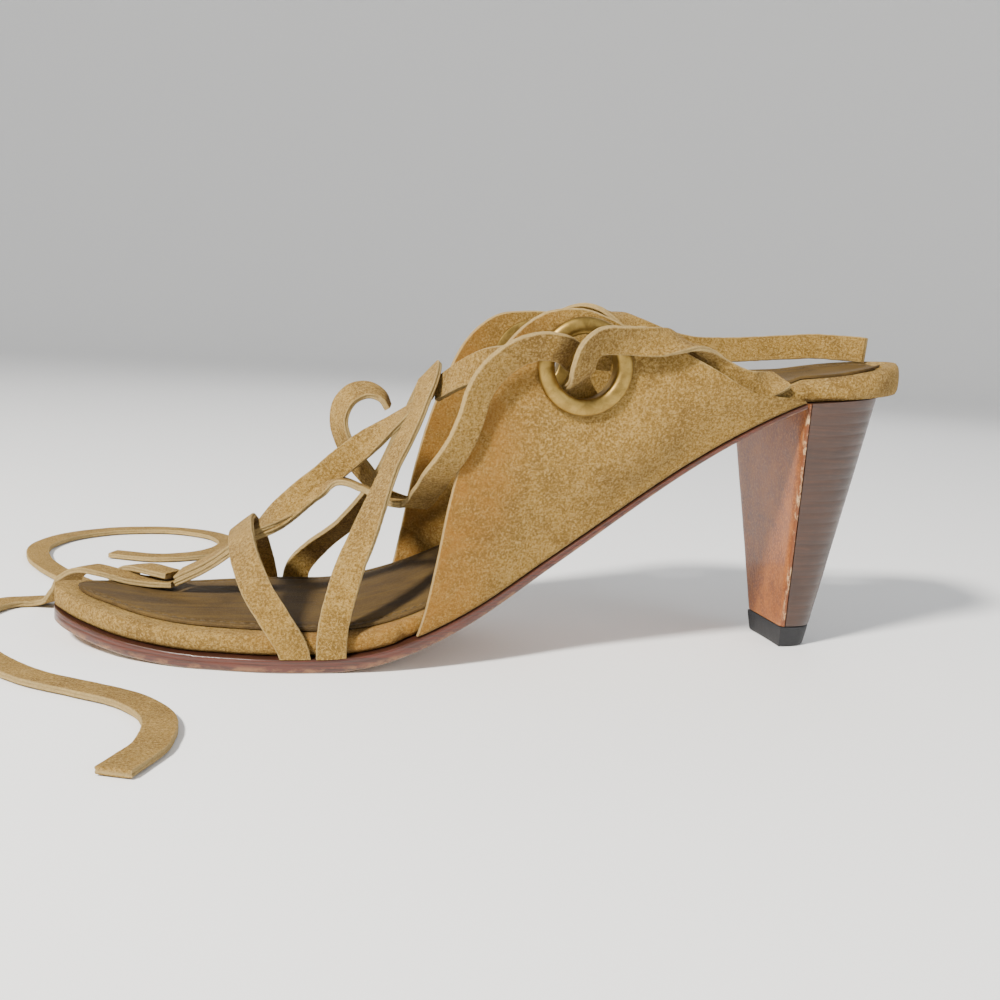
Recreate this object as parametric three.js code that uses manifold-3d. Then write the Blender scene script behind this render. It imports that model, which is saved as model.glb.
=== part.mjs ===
// Strappy heeled sandal, left shoe, lace-up, with suede side panels and large eyelets.
// Millimetres, +Z up. The toe points along -X, the lateral (outer) side is at -Y.
// Inside this file a place is (s, y, z): s runs from the toe tip back to the heel.
import * as THREE from "three";
import Module from "manifold-3d";
import { mergeVertices } from "three/addons/utils/BufferGeometryUtils.js";

const wasm = await Module();
wasm.setup();

// Driving sizes
const LENGTH = 236;          // toe tip to the back of the heel seat
const BALL_WIDTH = 76;       // outsole, at the ball of the foot
const WAIST_WIDTH = 52;      // outsole, under the arch
const SEAT_WIDTH = 55;       // footbed, at the heel
const HEEL_HEIGHT = 71;      // floor to the sole line, at the heel breast
const SEAT_RISE = 3.6;       // how much higher the seat is at its back
const TOE_SPRING = 5;
const SHANK_SLOPE = 0.42;    // rise per run of the sole line where it meets the heel
const GAP = 0.3;             // between pieces that touch

const OUTSOLE = 3.6;         // thickness at the forefoot
const OUTSOLE_END = 1.2;     // thickness at the heel breast
const OUTSOLE_STEP = 2.0;    // how far the outsole stands out beyond the footbed
const FOOTBED_TOE = 5.2;     // edge height of the wrapped footbed, forefoot
const FOOTBED_BREAST = 6.2;  // the same at the heel breast
const FOOTBED_BACK = 8.6;    // the same at the back of the seat
const SEAT_CUP = 2.4;        // how far the rim of the seat stands above its middle
const SOCK = 0.9;            // thickness of the insole lining
const SOCK_INSET = 4.2;      // from the edge of the footbed to the edge of the sock

const PANEL_WALL = 2.2;
const PANEL_SPREAD = 61;     // outside to outside of the two panels, at the eyelets
const PANEL_BULGE = 2.6;     // how far a panel swells between sole and rim
const EYELET_OUTER = 25.6;
const EYELET_HOLE = 16.6;
const EYELET_BARREL = 20.6;
const EYELET_DOME = 2.1;     // how far the outer ring stands proud of the panel
const EYELET_HEIGHT = 79.4;  // centre above the floor
const RIM_MARGIN = 2.0;      // suede above the eyelet

const HEEL_TOP_WIDTH = 53;
const HEEL_TOP_BACK = 9;     // from the back of the seat to the back of the heel
const HEEL_FOOT_WIDTH = 21;
const HEEL_FOOT_DEPTH = 10.5;
const HEEL_FOOT_SET = 5.6;   // how far the breast leans back on its way down
const BREAST_COVER = 1.2;
const TOP_PIECE = 6.2;

const BAND_WIDTH = 7.6;      // toe bands and ties
const BAND = 1.7;            // two layers of suede, bonded
const FRONT_BAND_RISE = 27.4;  // top of the front toe band above the outsole
const REAR_BAND_RISE = 64.2;   // top of the rear toe band above the outsole

// Places that follow the length
const FLAT_FROM = 0.17 * LENGTH;
const FLAT_TO = 0.29 * LENGTH;
const BREAST = 0.84 * LENGTH;
const PANEL_FRONT = 0.386 * LENGTH;
const EYELET_AT = 0.568 * LENGTH;

// Sole outline. at: share of the length, width: the size that the row follows,
// share: of half that width, mid: centre line's offset to the inside, share of BALL_WIDTH
const OUTLINE = [
  { at: 0.0, width: BALL_WIDTH, share: 0.0, mid: 0.056 },
  { at: 0.013, width: BALL_WIDTH, share: 0.272, mid: 0.056 },
  { at: 0.042, width: BALL_WIDTH, share: 0.478, mid: 0.05 },
  { at: 0.093, width: BALL_WIDTH, share: 0.71, mid: 0.038 },
  { at: 0.17, width: BALL_WIDTH, share: 0.895, mid: 0.027 },
  { at: 0.263, width: BALL_WIDTH, share: 1.0, mid: 0.026 },
  { at: 0.347, width: BALL_WIDTH, share: 0.985, mid: 0.018 },
  { at: 0.445, width: BALL_WIDTH, share: 0.875, mid: 0.01 },
  { at: 0.55, width: WAIST_WIDTH, share: 1.05, mid: 0.014 },
  { at: 0.68, width: WAIST_WIDTH, share: 0.985, mid: 0.01 },
  { at: 0.84, width: SEAT_WIDTH, share: 1.0, mid: -0.004 },
  { at: 0.924, width: SEAT_WIDTH, share: 0.9, mid: -0.004 },
  { at: 0.975, width: SEAT_WIDTH, share: 0.61, mid: 0.0 },
  { at: 1.0, width: SEAT_WIDTH, share: 0.0, mid: 0.0 },
];

// Numbers and curves
const mix = (a, b, t) => a + (b - a) * t;
const clamp = (v, lo = 0, hi = 1) => Math.min(hi, Math.max(lo, v));
const smooth = (a, b, v) => {
  const t = clamp((v - a) / (b - a));
  return t * t * (3 - 2 * t);
};

// A smooth curve through the points of a table that doesn't overshoot them
function through(xs, ys) {
  const n = xs.length;
  const slopes = xs.slice(1).map((x, i) => (ys[i + 1] - ys[i]) / (x - xs[i]));
  const tangents = ys.map((_, i) => {
    if (i === 0) return slopes[0];
    if (i === n - 1) return slopes[n - 2];
    const product = slopes[i - 1] * slopes[i];
    return product <= 0 ? 0 : (2 * product) / (slopes[i - 1] + slopes[i]);
  });
  return (x) => {
    let i = 0;
    while (i < n - 2 && x > xs[i + 1]) i += 1;
    const h = xs[i + 1] - xs[i];
    const t = clamp((x - xs[i]) / h);
    const a = ys[i] * (1 + 2 * t) * (1 - t) ** 2 + ys[i + 1] * t * t * (3 - 2 * t);
    return a + h * t * (1 - t) * (tangents[i] * (1 - t) - tangents[i + 1] * t);
  };
}

// The outline is read by angle, so that toe and heel come out round
const turn = (at) => Math.acos(1 - 2 * clamp(at)) / Math.PI;
const turns = OUTLINE.map((row) => turn(row.at));
const halfCurve = through(turns, OUTLINE.map((row) => (row.share * row.width) / 2));
const midCurve = through(turns, OUTLINE.map((row) => row.mid * BALL_WIDTH));
const half = (s) => halfCurve(turn(s / LENGTH));
const mid = (s) => midCurve(turn(s / LENGTH));

// Underside of the outsole, and the line that carries footbed and heel
function under(s) {
  if (s < FLAT_FROM) return TOE_SPRING * ((FLAT_FROM - s) / FLAT_FROM) ** 2;
  if (s < FLAT_TO) return 0;
  if (s < BREAST) {
    const run = BREAST - FLAT_TO;
    const t = (s - FLAT_TO) / run;
    return HEEL_HEIGHT * t * t * (3 - 2 * t) + SHANK_SLOPE * run * t * t * (t - 1);
  }
  return HEEL_HEIGHT + (SEAT_RISE * (s - BREAST)) / (LENGTH - BREAST);
}
const outsoleThickness = (s) => mix(OUTSOLE, OUTSOLE_END, smooth(FLAT_TO, BREAST, s));
const soleTop = (s) => under(s) + outsoleThickness(s);
const footbedEdge = (s) =>
  s < BREAST
    ? mix(FOOTBED_TOE, FOOTBED_BREAST, smooth(FLAT_TO, BREAST, s))
    : mix(FOOTBED_BREAST, FOOTBED_BACK, smooth(BREAST, LENGTH, s));

// How far the footbed stays inside the outsole's outline: it makes room for the panels
const PANEL_SEAT = 1.0;
const panelRoom = (s) => smooth(PANEL_FRONT - 4, PANEL_FRONT - 1, s);
const seatRoom = (s) => smooth(BREAST + 1, BREAST + 14, s);
function footbedHalf(s) {
  const forefoot = half(s) - OUTSOLE_STEP * clamp(half(s) / 8);
  const underPanel = half(s) - PANEL_SEAT - PANEL_WALL - GAP;
  return mix(mix(forefoot, underPanel, panelRoom(s)), half(s), seatRoom(s));
}

// Top of the footbed: flat facets from the rim down to its middle, which dips at the seat
const SHOULDER = 2.2;
const RIM_BAND = 9;
const slimness = (s) => clamp(footbedHalf(s) / RIM_BAND);
const cup = (s) => SEAT_CUP * smooth(0.7 * LENGTH, BREAST, s) * slimness(s);
function footbedTop(s, y) {
  const rim = soleTop(s) + GAP + footbedEdge(s);
  const away = Math.abs(y - mid(s));
  const shoulder = footbedHalf(s) - SHOULDER * slimness(s);
  const inner = footbedHalf(s) - RIM_BAND * slimness(s);
  const onRim = rim - 0.45 * cup(s) * (1 - clamp((away - inner) / (shoulder - inner + 1e-6)));
  return away < inner ? mix(rim - cup(s), rim - 0.45 * cup(s), away / inner) : onRim;
}

// Mesh helpers
const point = (s, y, z) => [s, y, z];

function bodyFrom(points, triangles) {
  const geometry = new THREE.BufferGeometry();
  geometry.setAttribute("position", new THREE.Float32BufferAttribute(points.flat(), 3));
  geometry.setIndex(triangles.flat());
  const merged = mergeVertices(geometry, 1e-3);
  const index = merged.getIndex().array;
  const kept = [];
  for (let i = 0; i < index.length; i += 3) {
    const [a, b, c] = [index[i], index[i + 1], index[i + 2]];
    if (a !== b && b !== c && c !== a) kept.push(a, b, c);
  }
  merged.setIndex(kept);
  return merged;
}

// A body through rings of equally many points. Ends are closed by a fan, unless the
// ring has run together into one upright line, as at the tip of the toe.
// Seen from the first ring towards the last, each ring runs clockwise.
function loft(rings) {
  const count = rings[0].length;
  const points = rings.flat();
  const triangles = [];
  for (let r = 0; r + 1 < rings.length; r += 1) {
    for (let i = 0; i < count; i += 1) {
      const a = r * count + i;
      const b = r * count + ((i + 1) % count);
      triangles.push([a, b, a + count], [b, b + count, a + count]);
    }
  }
  for (const r of [0, rings.length - 1]) {
    const ring = rings[r];
    if (ring.every((p) => Math.abs(p[1] - ring[0][1]) < 1e-4)) continue;
    const centre = [0, 1, 2].map((k) => ring.reduce((sum, p) => sum + p[k], 0) / count);
    const c = points.push(centre) - 1;
    for (let i = 0; i < count; i += 1) {
      const a = r * count + i;
      const b = r * count + ((i + 1) % count);
      triangles.push(r === 0 ? [b, a, c] : [a, b, c]);
    }
  }
  return bodyFrom(points, triangles);
}

const spacedBy = (count, from, to) =>
  Array.from({ length: count + 1 }, (_, i) => mix(from, to, i / count));

// Stations that crowd towards the toe and the heel, where the outline turns
const roundStations = (count, from, to) =>
  spacedBy(count, turn(from / LENGTH), turn(to / LENGTH)).map(
    (t) => (LENGTH * (1 - Math.cos(Math.PI * t))) / 2,
  );

// Pieces that lie along each other share their stations
const SOLE_STATIONS = roundStations(38, 0, BREAST - GAP);
const SEAT_STATIONS = roundStations(9, BREAST + GAP, LENGTH);
const ALL_STATIONS = [...SOLE_STATIONS, ...SEAT_STATIONS];

// Manifold solids from closed geometries, and back
function solid(geometry) {
  const merged = mergeVertices(new THREE.BufferGeometry().copy(geometry).deleteAttribute("normal")
    .deleteAttribute("uv"), 1e-4);
  return new wasm.Manifold(new wasm.Mesh({
    numProp: 3,
    vertProperties: new Float32Array(merged.getAttribute("position").array),
    triVerts: new Uint32Array(merged.getIndex().array),
  }));
}

function fromSolid(body) {
  const mesh = body.getMesh();
  const geometry = new THREE.BufferGeometry();
  geometry.setAttribute("position", new THREE.BufferAttribute(new Float32Array(mesh.vertProperties), 3));
  geometry.setIndex(new THREE.BufferAttribute(new Uint32Array(mesh.triVerts), 1));
  return geometry;
}

// Outsole: a thin leather sole with a lightly broken lower edge, cut off at the heel
function outsole() {
  const chamfer = 0.5;
  const rings = SOLE_STATIONS.map((s) => {
    const w = half(s);
    const c = mid(s);
    const low = under(s);
    const high = soleTop(s);
    const inner = w - Math.min(chamfer, 0.3 * w);
    return [
      point(s, c - inner, low),
      point(s, c + inner, low),
      point(s, c + w, low + chamfer),
      point(s, c + w, high),
      point(s, c - w, high),
      point(s, c - w, low + chamfer),
    ];
  });
  return loft(rings);
}

// Footbed: a board wrapped in suede, with a round edge
const FOOTBED_EDGE = [
  { out: -1.3, up: 0.0 },
  { out: -0.2, up: 0.22 },
  { out: 0.0, up: 0.5 },
  { out: -0.5, up: 0.82 },
  { out: -SHOULDER, up: 1.0 },
];

function footbed() {
  const rings = ALL_STATIONS.map((s) => {
    const w = footbedHalf(s);
    const c = mid(s);
    const low = soleTop(s) + GAP;
    const slim = slimness(s);
    const sideRow = (side) => FOOTBED_EDGE.map(({ out, up }) => {
      const y = c + side * (w + out * slim);
      return point(s, y, low + up * footbedEdge(s));
    });
    const inner = w - RIM_BAND * slim;
    const onTop = [1, 0, -1].map((share) => {
      const y = c + share * inner;
      return point(s, y, footbedTop(s, y));
    });
    return [...sideRow(1), ...onTop, ...sideRow(-1).reverse()];
  });
  return loft(rings);
}

// Sock: the insole lining that lies on the footbed inside its rim
function insoleSock() {
  const front = OUTSOLE_STEP + SOCK_INSET;
  const back = LENGTH - SOCK_INSET;
  const round = 0.1 * LENGTH;
  const inside = ALL_STATIONS.filter((s) => s > front + round && s < back - round);
  const ends = ALL_STATIONS.map((s) => mix(front, back, s / LENGTH))
    .filter((s) => s < inside[0] - 2 || s > inside[inside.length - 1] + 2);
  const stations = [...inside, ...ends].sort((a, b) => a - b);
  const rings = stations.map((s) => {
    const outline = half((LENGTH * (s - front)) / (back - front));
    const w = outline - (OUTSOLE_STEP + SOCK_INSET) * clamp(outline / (2 * RIM_BAND));
    const inner = Math.min(0.9 * w, footbedHalf(s) - RIM_BAND * slimness(s));
    const row = [-w, -inner, 0, inner, w].map((off) => mid(s) + off);
    const low = row.map((y) => point(s, y, footbedTop(s, y) + GAP));
    const high = row.map((y) => point(s, y, footbedTop(s, y) + GAP + SOCK));
    return [...low, ...high.reverse()];
  });
  return loft(rings);
}

// Heel: stacked leather, D-shaped in plan, with a flat breast
const heelTop = (s) => soleTop(Math.max(s, BREAST));
function heelPlan(level, angle, breastInset) {
  const front = mix(BREAST + HEEL_FOOT_SET, BREAST, level);
  const back = mix(BREAST + HEEL_FOOT_SET + HEEL_FOOT_DEPTH, LENGTH - HEEL_TOP_BACK, level);
  const w = mix(HEEL_FOOT_WIDTH, HEEL_TOP_WIDTH, level) / 2;
  const roundness = 0.72;
  const s = front + (back - front) * Math.abs(Math.sin(angle)) ** roundness;
  const y = -w * Math.sign(Math.cos(angle)) * Math.abs(Math.cos(angle)) ** roundness;
  return { s: Math.max(s, front + breastInset), y: y + mid(BREAST) * level };
}

function heelRings(lowZ, levels, topZ, breastInset) {
  return levels.map((share) => {
    const angles = spacedBy(18, 0, Math.PI);
    return angles.map((angle) => {
      const z = mix(lowZ, topZ(BREAST), share);
      const { s, y } = heelPlan(z / HEEL_HEIGHT, angle, breastInset);
      return point(s, y, mix(lowZ, topZ(s), share));
    });
  });
}

const heel = () => loft(heelRings(TOP_PIECE + GAP, spacedBy(5, 0, 1), heelTop, BREAST_COVER + GAP));
const topPiece = () => loft(heelRings(0, [0, 1], () => TOP_PIECE, 0));

// Leather over the breast, thin and flat, as wide as the heel is there
function breastCover() {
  const lowZ = TOP_PIECE + GAP;
  const rings = spacedBy(4, 0, 1).map((share) => {
    const z = mix(lowZ, heelTop(BREAST), share);
    const level = z / HEEL_HEIGHT;
    const near = heelPlan(level, 0, 0);
    const far = heelPlan(level, Math.PI, 0);
    const backS = near.s + BREAST_COVER;
    return [
      point(near.s, near.y, z),
      point(backS, near.y, z),
      point(backS, far.y, z),
      point(near.s, far.y, z),
    ];
  });
  return loft(rings);
}

// Side panels: thin walls of the last, cut by their outline
const PANEL_TOP = EYELET_HEIGHT + EYELET_OUTER / 2 + RIM_MARGIN;

function panelOut(s, z) {
  const foot = half(s) - PANEL_SEAT;
  const height = clamp((z - soleTop(s)) / (PANEL_TOP - soleTop(s)));
  const swell = PANEL_BULGE * Math.sin(Math.PI * clamp(height));
  const free = mix(foot, PANEL_SPREAD / 2, smooth(0, 0.8, height)) + swell;
  const away = Math.hypot(s - EYELET_AT, z - EYELET_HEIGHT);
  return mix(PANEL_SPREAD / 2, free, smooth(0.5 * EYELET_OUTER + 7, 1.5 * EYELET_OUTER, away));
}

// Outline of a panel seen from the side. s: share of the way from the panel's front to the
// heel breast, lateral and medial: share of the way from the floor to the rim on each side
const PANEL_EDGE = [
  { s: 0.0, lateral: 0.04, medial: 0.04 },
  { s: 0.03, lateral: 0.14, medial: 0.14 },
  { s: 0.055, lateral: 0.285, medial: 0.285 },
  { s: 0.08, lateral: 0.457, medial: 0.457 },
  { s: 0.115, lateral: 0.63, medial: 0.63 },
  { s: 0.155, lateral: 0.77, medial: 0.77 },
  { s: 0.21, lateral: 0.9, medial: 0.9 },
  { s: 0.29, lateral: 0.98, medial: 0.98 },
  { s: 0.385, lateral: 1.0, medial: 1.0 },
  { s: 0.466, lateral: 0.975, medial: 1.0 },
  { s: 0.522, lateral: 0.945, medial: 0.998 },
  { s: 0.578, lateral: 0.928, medial: 0.99 },
  { s: 0.643, lateral: 0.902, medial: 0.975 },
  { s: 0.727, lateral: 0.855, medial: 0.94 },
  { s: 0.811, lateral: 0.808, medial: 0.88 },
  { s: 0.882, lateral: 0.779, medial: 0.825 },
  { s: 1.0, lateral: 0.776, medial: 0.776 },
];

function panelPrism(sideName) {
  const place = (row) => new THREE.Vector2(mix(PANEL_FRONT, BREAST, row.s), row[sideName] * PANEL_TOP);
  const shape = new THREE.Shape();
  const first = place(PANEL_EDGE[0]);
  const last = place(PANEL_EDGE[PANEL_EDGE.length - 1]);
  shape.moveTo(first.x, first.y);
  shape.splineThru(PANEL_EDGE.slice(1).map(place));
  shape.lineTo(last.x, -10);
  shape.lineTo(first.x, -10);
  const reach = 2 * BALL_WIDTH;
  const prism = new THREE.ExtrudeGeometry(shape, { depth: reach, bevelEnabled: false, curveSegments: 3 });
  prism.rotateX(Math.PI / 2);
  prism.translate(0, reach / 2, 0);
  return solid(prism);
}

function panel(side) {
  const near = (s) => s > PANEL_FRONT - 12 && s < BREAST + 12;
  const rings = ALL_STATIONS.filter(near).map((s) => {
    const heights = spacedBy(9, 0, 1).map((t) => mix(soleTop(s) + GAP, PANEL_TOP + 4, t));
    const outer = heights.map((z) => point(s, mid(s) + side * panelOut(s, z), z));
    const inner = heights.map((z) => point(s, mid(s) + side * (panelOut(s, z) - PANEL_WALL), z));
    const ring = [...outer, ...inner.reverse()];
    return side > 0 ? ring : ring.reverse();
  });
  const wall = solid(strip(rings));
  const bore = new THREE.CylinderGeometry(EYELET_BARREL / 2 + GAP, EYELET_BARREL / 2 + GAP, BALL_WIDTH, 32);
  bore.translate(EYELET_AT, (side * BALL_WIDTH) / 2 + mid(EYELET_AT), EYELET_HEIGHT);
  return fromSolid(wall.intersect(panelPrism(side > 0 ? "medial" : "lateral")).subtract(solid(bore)));
}

// Like loft, with the ends closed as a ladder, which suits thin curved rings
function strip(rings) {
  const count = rings[0].length;
  const points = rings.flat();
  const triangles = [];
  for (let r = 0; r + 1 < rings.length; r += 1) {
    for (let i = 0; i < count; i += 1) {
      const a = r * count + i;
      const b = r * count + ((i + 1) % count);
      triangles.push([a, b, a + count], [b, b + count, a + count]);
    }
  }
  for (const r of [0, rings.length - 1]) {
    for (let i = 0; i + 1 < count / 2; i += 1) {
      const a = r * count + i;
      const b = a + 1;
      const d = r * count + count - 1 - i;
      const c = d - 1;
      triangles.push(...(r === 0 ? [[b, a, d], [b, d, c]] : [[a, b, d], [b, c, d]]));
    }
  }
  return bodyFrom(points, triangles);
}

// Eyelet: a domed ring outside, a flat washer inside, and the barrel between them
function eyelet(side) {
  const hole = EYELET_HOLE / 2;
  const barrel = EYELET_BARREL / 2;
  const outer = EYELET_OUTER / 2;
  const face = PANEL_WALL / 2 + GAP;
  const ring = (outer - hole) / 2;
  const middle = (outer + hole) / 2;
  const dome = spacedBy(5, 0, Math.PI).map((angle) =>
    new THREE.Vector2(middle + ring * Math.cos(angle), face + 0.5 + (EYELET_DOME - 0.5) * Math.sin(angle)));
  const washer = 0.9;
  const profile = [
    new THREE.Vector2(barrel, face),
    new THREE.Vector2(outer - 0.4, face),
    ...dome,
    new THREE.Vector2(hole, -face - washer + 0.3),
    new THREE.Vector2(hole + 0.4, -face - washer),
    new THREE.Vector2(outer - 1.2, -face - washer),
    new THREE.Vector2(outer - 0.7, -face - 0.3),
    new THREE.Vector2(outer - 0.9, -face),
    new THREE.Vector2(barrel, -face),
    new THREE.Vector2(barrel, face),
  ];
  const geometry = new THREE.LatheGeometry(profile, 28);
  const body = mergeVertices(geometry.deleteAttribute("normal").deleteAttribute("uv"), 1e-4);
  if (side < 0) body.rotateX(Math.PI);
  body.translate(EYELET_AT, mid(EYELET_AT) + side * (PANEL_SPREAD / 2 - PANEL_WALL / 2), EYELET_HEIGHT);
  return body;
}

// Straps: a flat section carried along a curve. across: the way that the width lies,
// worked out from the strap's direction. roll: degrees that it is turned about its own line
const SECTION = [
  { wide: -1, thick: -0.45 },
  { wide: -0.82, thick: -1 },
  { wide: 0.82, thick: -1 },
  { wide: 1, thick: -0.45 },
  { wide: 1, thick: 0.45 },
  { wide: 0.82, thick: 1 },
  { wide: -0.82, thick: 1 },
  { wide: -1, thick: 0.45 },
];

function strap(rows, across, steps) {
  const curve = new THREE.CatmullRomCurve3(rows.map((r) => new THREE.Vector3(r.s, r.y, r.z)), false, "centripetal");
  const rolls = new THREE.CatmullRomCurve3(rows.map((r) => new THREE.Vector3(r.roll ?? 0, 0, 0)), false);
  const rings = spacedBy(steps, 0, 1).map((t) => {
    const centre = curve.getPoint(t);
    const along = curve.getTangent(t);
    const width = across(along);
    width.addScaledVector(along, -width.dot(along)).normalize();
    width.applyAxisAngle(along, THREE.MathUtils.degToRad(rolls.getPoint(t).x));
    const face = new THREE.Vector3().crossVectors(along, width);
    return SECTION.map(({ wide, thick }) => centre.clone()
      .addScaledVector(width, (wide * BAND_WIDTH) / 2)
      .addScaledVector(face, (thick * BAND) / 2)
      .toArray());
  });
  return loft(rings);
}

// The way a strap's width lies: lengthways, sideways, or level, as on a floor
const lengthways = () => new THREE.Vector3(1, 0, 0);
const sideways = () => new THREE.Vector3(0, 1, 0);
const level = (along) => new THREE.Vector3(-along.y, along.x, 0);

// A width that starts in one direction and is carried along the strap without a twist
function carried(...start) {
  const width = new THREE.Vector3(...start);
  return (along) => width.addScaledVector(along, -width.dot(along)).normalize().clone();
}

// Toe bands. at: share of the length, over: -1 stands on the ledge of the outsole at the
// lateral edge, 1 at the medial edge, up: share of the band's rise, roll: degrees
const FRONT_BAND = [
  { at: 0.266, over: -1.0, up: -0.08, roll: 0 },
  { at: 0.26, over: -1.0, up: 0.1, roll: 0 },
  { at: 0.243, over: -0.99, up: 0.34, roll: -6 },
  { at: 0.224, over: -0.86, up: 0.57, roll: -18 },
  { at: 0.211, over: -0.62, up: 0.79, roll: -32 },
  { at: 0.206, over: -0.33, up: 0.94, roll: -38 },
  { at: 0.206, over: -0.04, up: 1.0, roll: -40 },
  { at: 0.21, over: 0.24, up: 0.97, roll: -38 },
  { at: 0.217, over: 0.52, up: 0.83, roll: -32 },
  { at: 0.226, over: 0.78, up: 0.6, roll: -22 },
  { at: 0.234, over: 0.95, up: 0.36, roll: -12 },
  { at: 0.238, over: 1.0, up: 0.17, roll: 0 },
  { at: 0.239, over: 1.0, up: -0.08, roll: 0 },
];
const REAR_BAND = [
  { at: 0.302, over: -1.0, up: -0.03, roll: 0 },
  { at: 0.302, over: -1.0, up: 0.065, roll: 0 },
  { at: 0.306, over: -0.985, up: 0.17, roll: -4 },
  { at: 0.317, over: -0.91, up: 0.31, roll: -14 },
  { at: 0.338, over: -0.74, up: 0.48, roll: -32 },
  { at: 0.366, over: -0.5, up: 0.68, roll: -60 },
  { at: 0.398, over: -0.37, up: 0.88, roll: -66 },
  { at: 0.411, over: -0.21, up: 0.985, roll: -48 },
  { at: 0.416, over: -0.06, up: 1.01, roll: -48 },
  { at: 0.413, over: 0.1, up: 0.955, roll: -46 },
  { at: 0.4, over: 0.3, up: 0.79, roll: -38 },
  { at: 0.375, over: 0.52, up: 0.56, roll: -28 },
  { at: 0.34, over: 0.75, up: 0.37, roll: -20 },
  { at: 0.302, over: 0.92, up: 0.24, roll: -12 },
  { at: 0.281, over: 0.99, up: 0.14, roll: -6 },
  { at: 0.276, over: 1.0, up: 0.06, roll: 0 },
  { at: 0.275, over: 1.0, up: -0.03, roll: 0 },
];

function toeBand(table, rise, steps) {
  const rows = table.map(({ at, over, up, roll }) => {
    const s = at * LENGTH;
    const ledge = half(s) - OUTSOLE_STEP + GAP + BAND / 2;
    return { s, y: mid(s) + over * ledge, z: soleTop(s) + GAP + up * (rise - GAP), roll };
  });
  return fromSolid(solid(strap(rows, lengthways, steps)).subtract(solid(soleBlock())));
}

// Everything from below the sole up to a gap above it: the toe bands are cut off there
function soleBlock() {
  const rings = SOLE_STATIONS.map((s) => {
    const w = half(s) + 2 * BAND;
    const [low, high] = [under(s) - BAND_WIDTH, soleTop(s) + GAP];
    const at = (share, z) => point(s, mid(s) + share * w, z);
    return [at(-1, low), at(1, low), at(1, high), at(-1, high)];
  });
  return loft(rings);
}

// Tie: one long flat strap. Its two strands lie on each other down the instep. at: share
// of the length, aside: share of BALL_WIDTH to the medial side, up: share of HEEL_HEIGHT
const UPPER_STRAND = [
  { at: 0.4178, aside: -0.0684, up: 0.9831, roll: 0 },
  { at: 0.4047, aside: -0.0421, up: 0.9408, roll: 0 },
  { at: 0.3729, aside: 0, up: 0.8451, roll: -22 },
  { at: 0.339, aside: 0.0263, up: 0.7521, roll: -62 },
  { at: 0.2966, aside: 0.0395, up: 0.6254, roll: -80 },
  { at: 0.2542, aside: 0.0526, up: 0.5042, roll: -46 },
  { at: 0.2097, aside: 0.0724, up: 0.3831, roll: 6 },
  { at: 0.1695, aside: 0.1053, up: 0.2817, roll: 0 },
  { at: 0.1356, aside: 0.1513, up: 0.2141, roll: 0 },
];
const LOWER_STRAND = [
  { at: 0.3898, aside: -0.125, up: 0.5563, roll: 0 },
  { at: 0.3686, aside: -0.0789, up: 0.5634, roll: 0 },
  { at: 0.3432, aside: -0.0263, up: 0.5986, roll: 0 },
  { at: 0.3178, aside: 0.0132, up: 0.6197, roll: 0 },
  { at: 0.2924, aside: 0.0395, up: 0.5915, roll: -40 },
  { at: 0.2542, aside: 0.0526, up: 0.4845, roll: -44 },
  { at: 0.2097, aside: 0.0724, up: 0.3606, roll: 6 },
  { at: 0.1695, aside: 0.1053, up: 0.2606, roll: 0 },
  { at: 0.1356, aside: 0.1513, up: 0.193, roll: 0 },
];

const strand = (table, steps) => solid(strap(
  table.map(({ at, aside, up, roll }) => (
    { s: at * LENGTH, y: aside * BALL_WIDTH, z: up * HEEL_HEIGHT, roll })),
  sideways,
  steps,
));
const tieCrossings = () => fromSolid(strand(UPPER_STRAND, 30).add(strand(LOWER_STRAND, 22)));

// Free runs of the tie: over the rims and through the eyelets, its loops and its two loose
// ends, which lie on the floor. Points chosen by hand.
const TIE_INNER = [
  { s: 99.7, y: -6.0, z: 70.8, roll: 30 },
  { s: 103.6, y: -11.4, z: 74.4, roll: 40 },
  { s: 108.0, y: -16.6, z: 77.6, roll: 55 },
  { s: 112.6, y: -20.6, z: 79.6, roll: 72 },
  { s: 117.4, y: -22.6, z: 79.8, roll: 85 },
  { s: 121.6, y: -22.8, z: 77.4, roll: 90 },
  { s: 124.2, y: -22.8, z: 72.6, roll: 90 },
  { s: 125.4, y: -23.0, z: 67.0, roll: 90 },
  { s: 125.8, y: -23.4, z: 61.0, roll: 90 },
];
const TIE_RISE = [
  { s: 94.0, y: -11.6, z: 39.6 },
  { s: 95.2, y: -15.6, z: 41.6 },
  { s: 95.6, y: -21.0, z: 44.6 },
  { s: 96.2, y: -26.6, z: 47.6 },
  { s: 96.6, y: -31.6, z: 50.4 },
  { s: 98.8, y: -35.3, z: 54.6 },
  { s: 101.6, y: -35.8, z: 59.6 },
  { s: 103.8, y: -35.0, z: 65.4 },
  { s: 105.4, y: -34.6, z: 71.0 },
  { s: 108.2, y: -34.4, z: 76.2 },
  { s: 112.2, y: -34.2, z: 80.2 },
  { s: 117.0, y: -34.4, z: 83.0 },
  { s: 121.4, y: -34.4, z: 84.2 },
  { s: 125.0, y: -34.1, z: 84.0 },
  { s: 128.0, y: -31.8, z: 83.2 },
  { s: 130.2, y: -28.6, z: 82.2 },
  { s: 132.6, y: -25.6, z: 81.2 },
  { s: 137.0, y: -24.2, z: 82.0 },
  { s: 143.0, y: -24.0, z: 82.0 },
];
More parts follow.
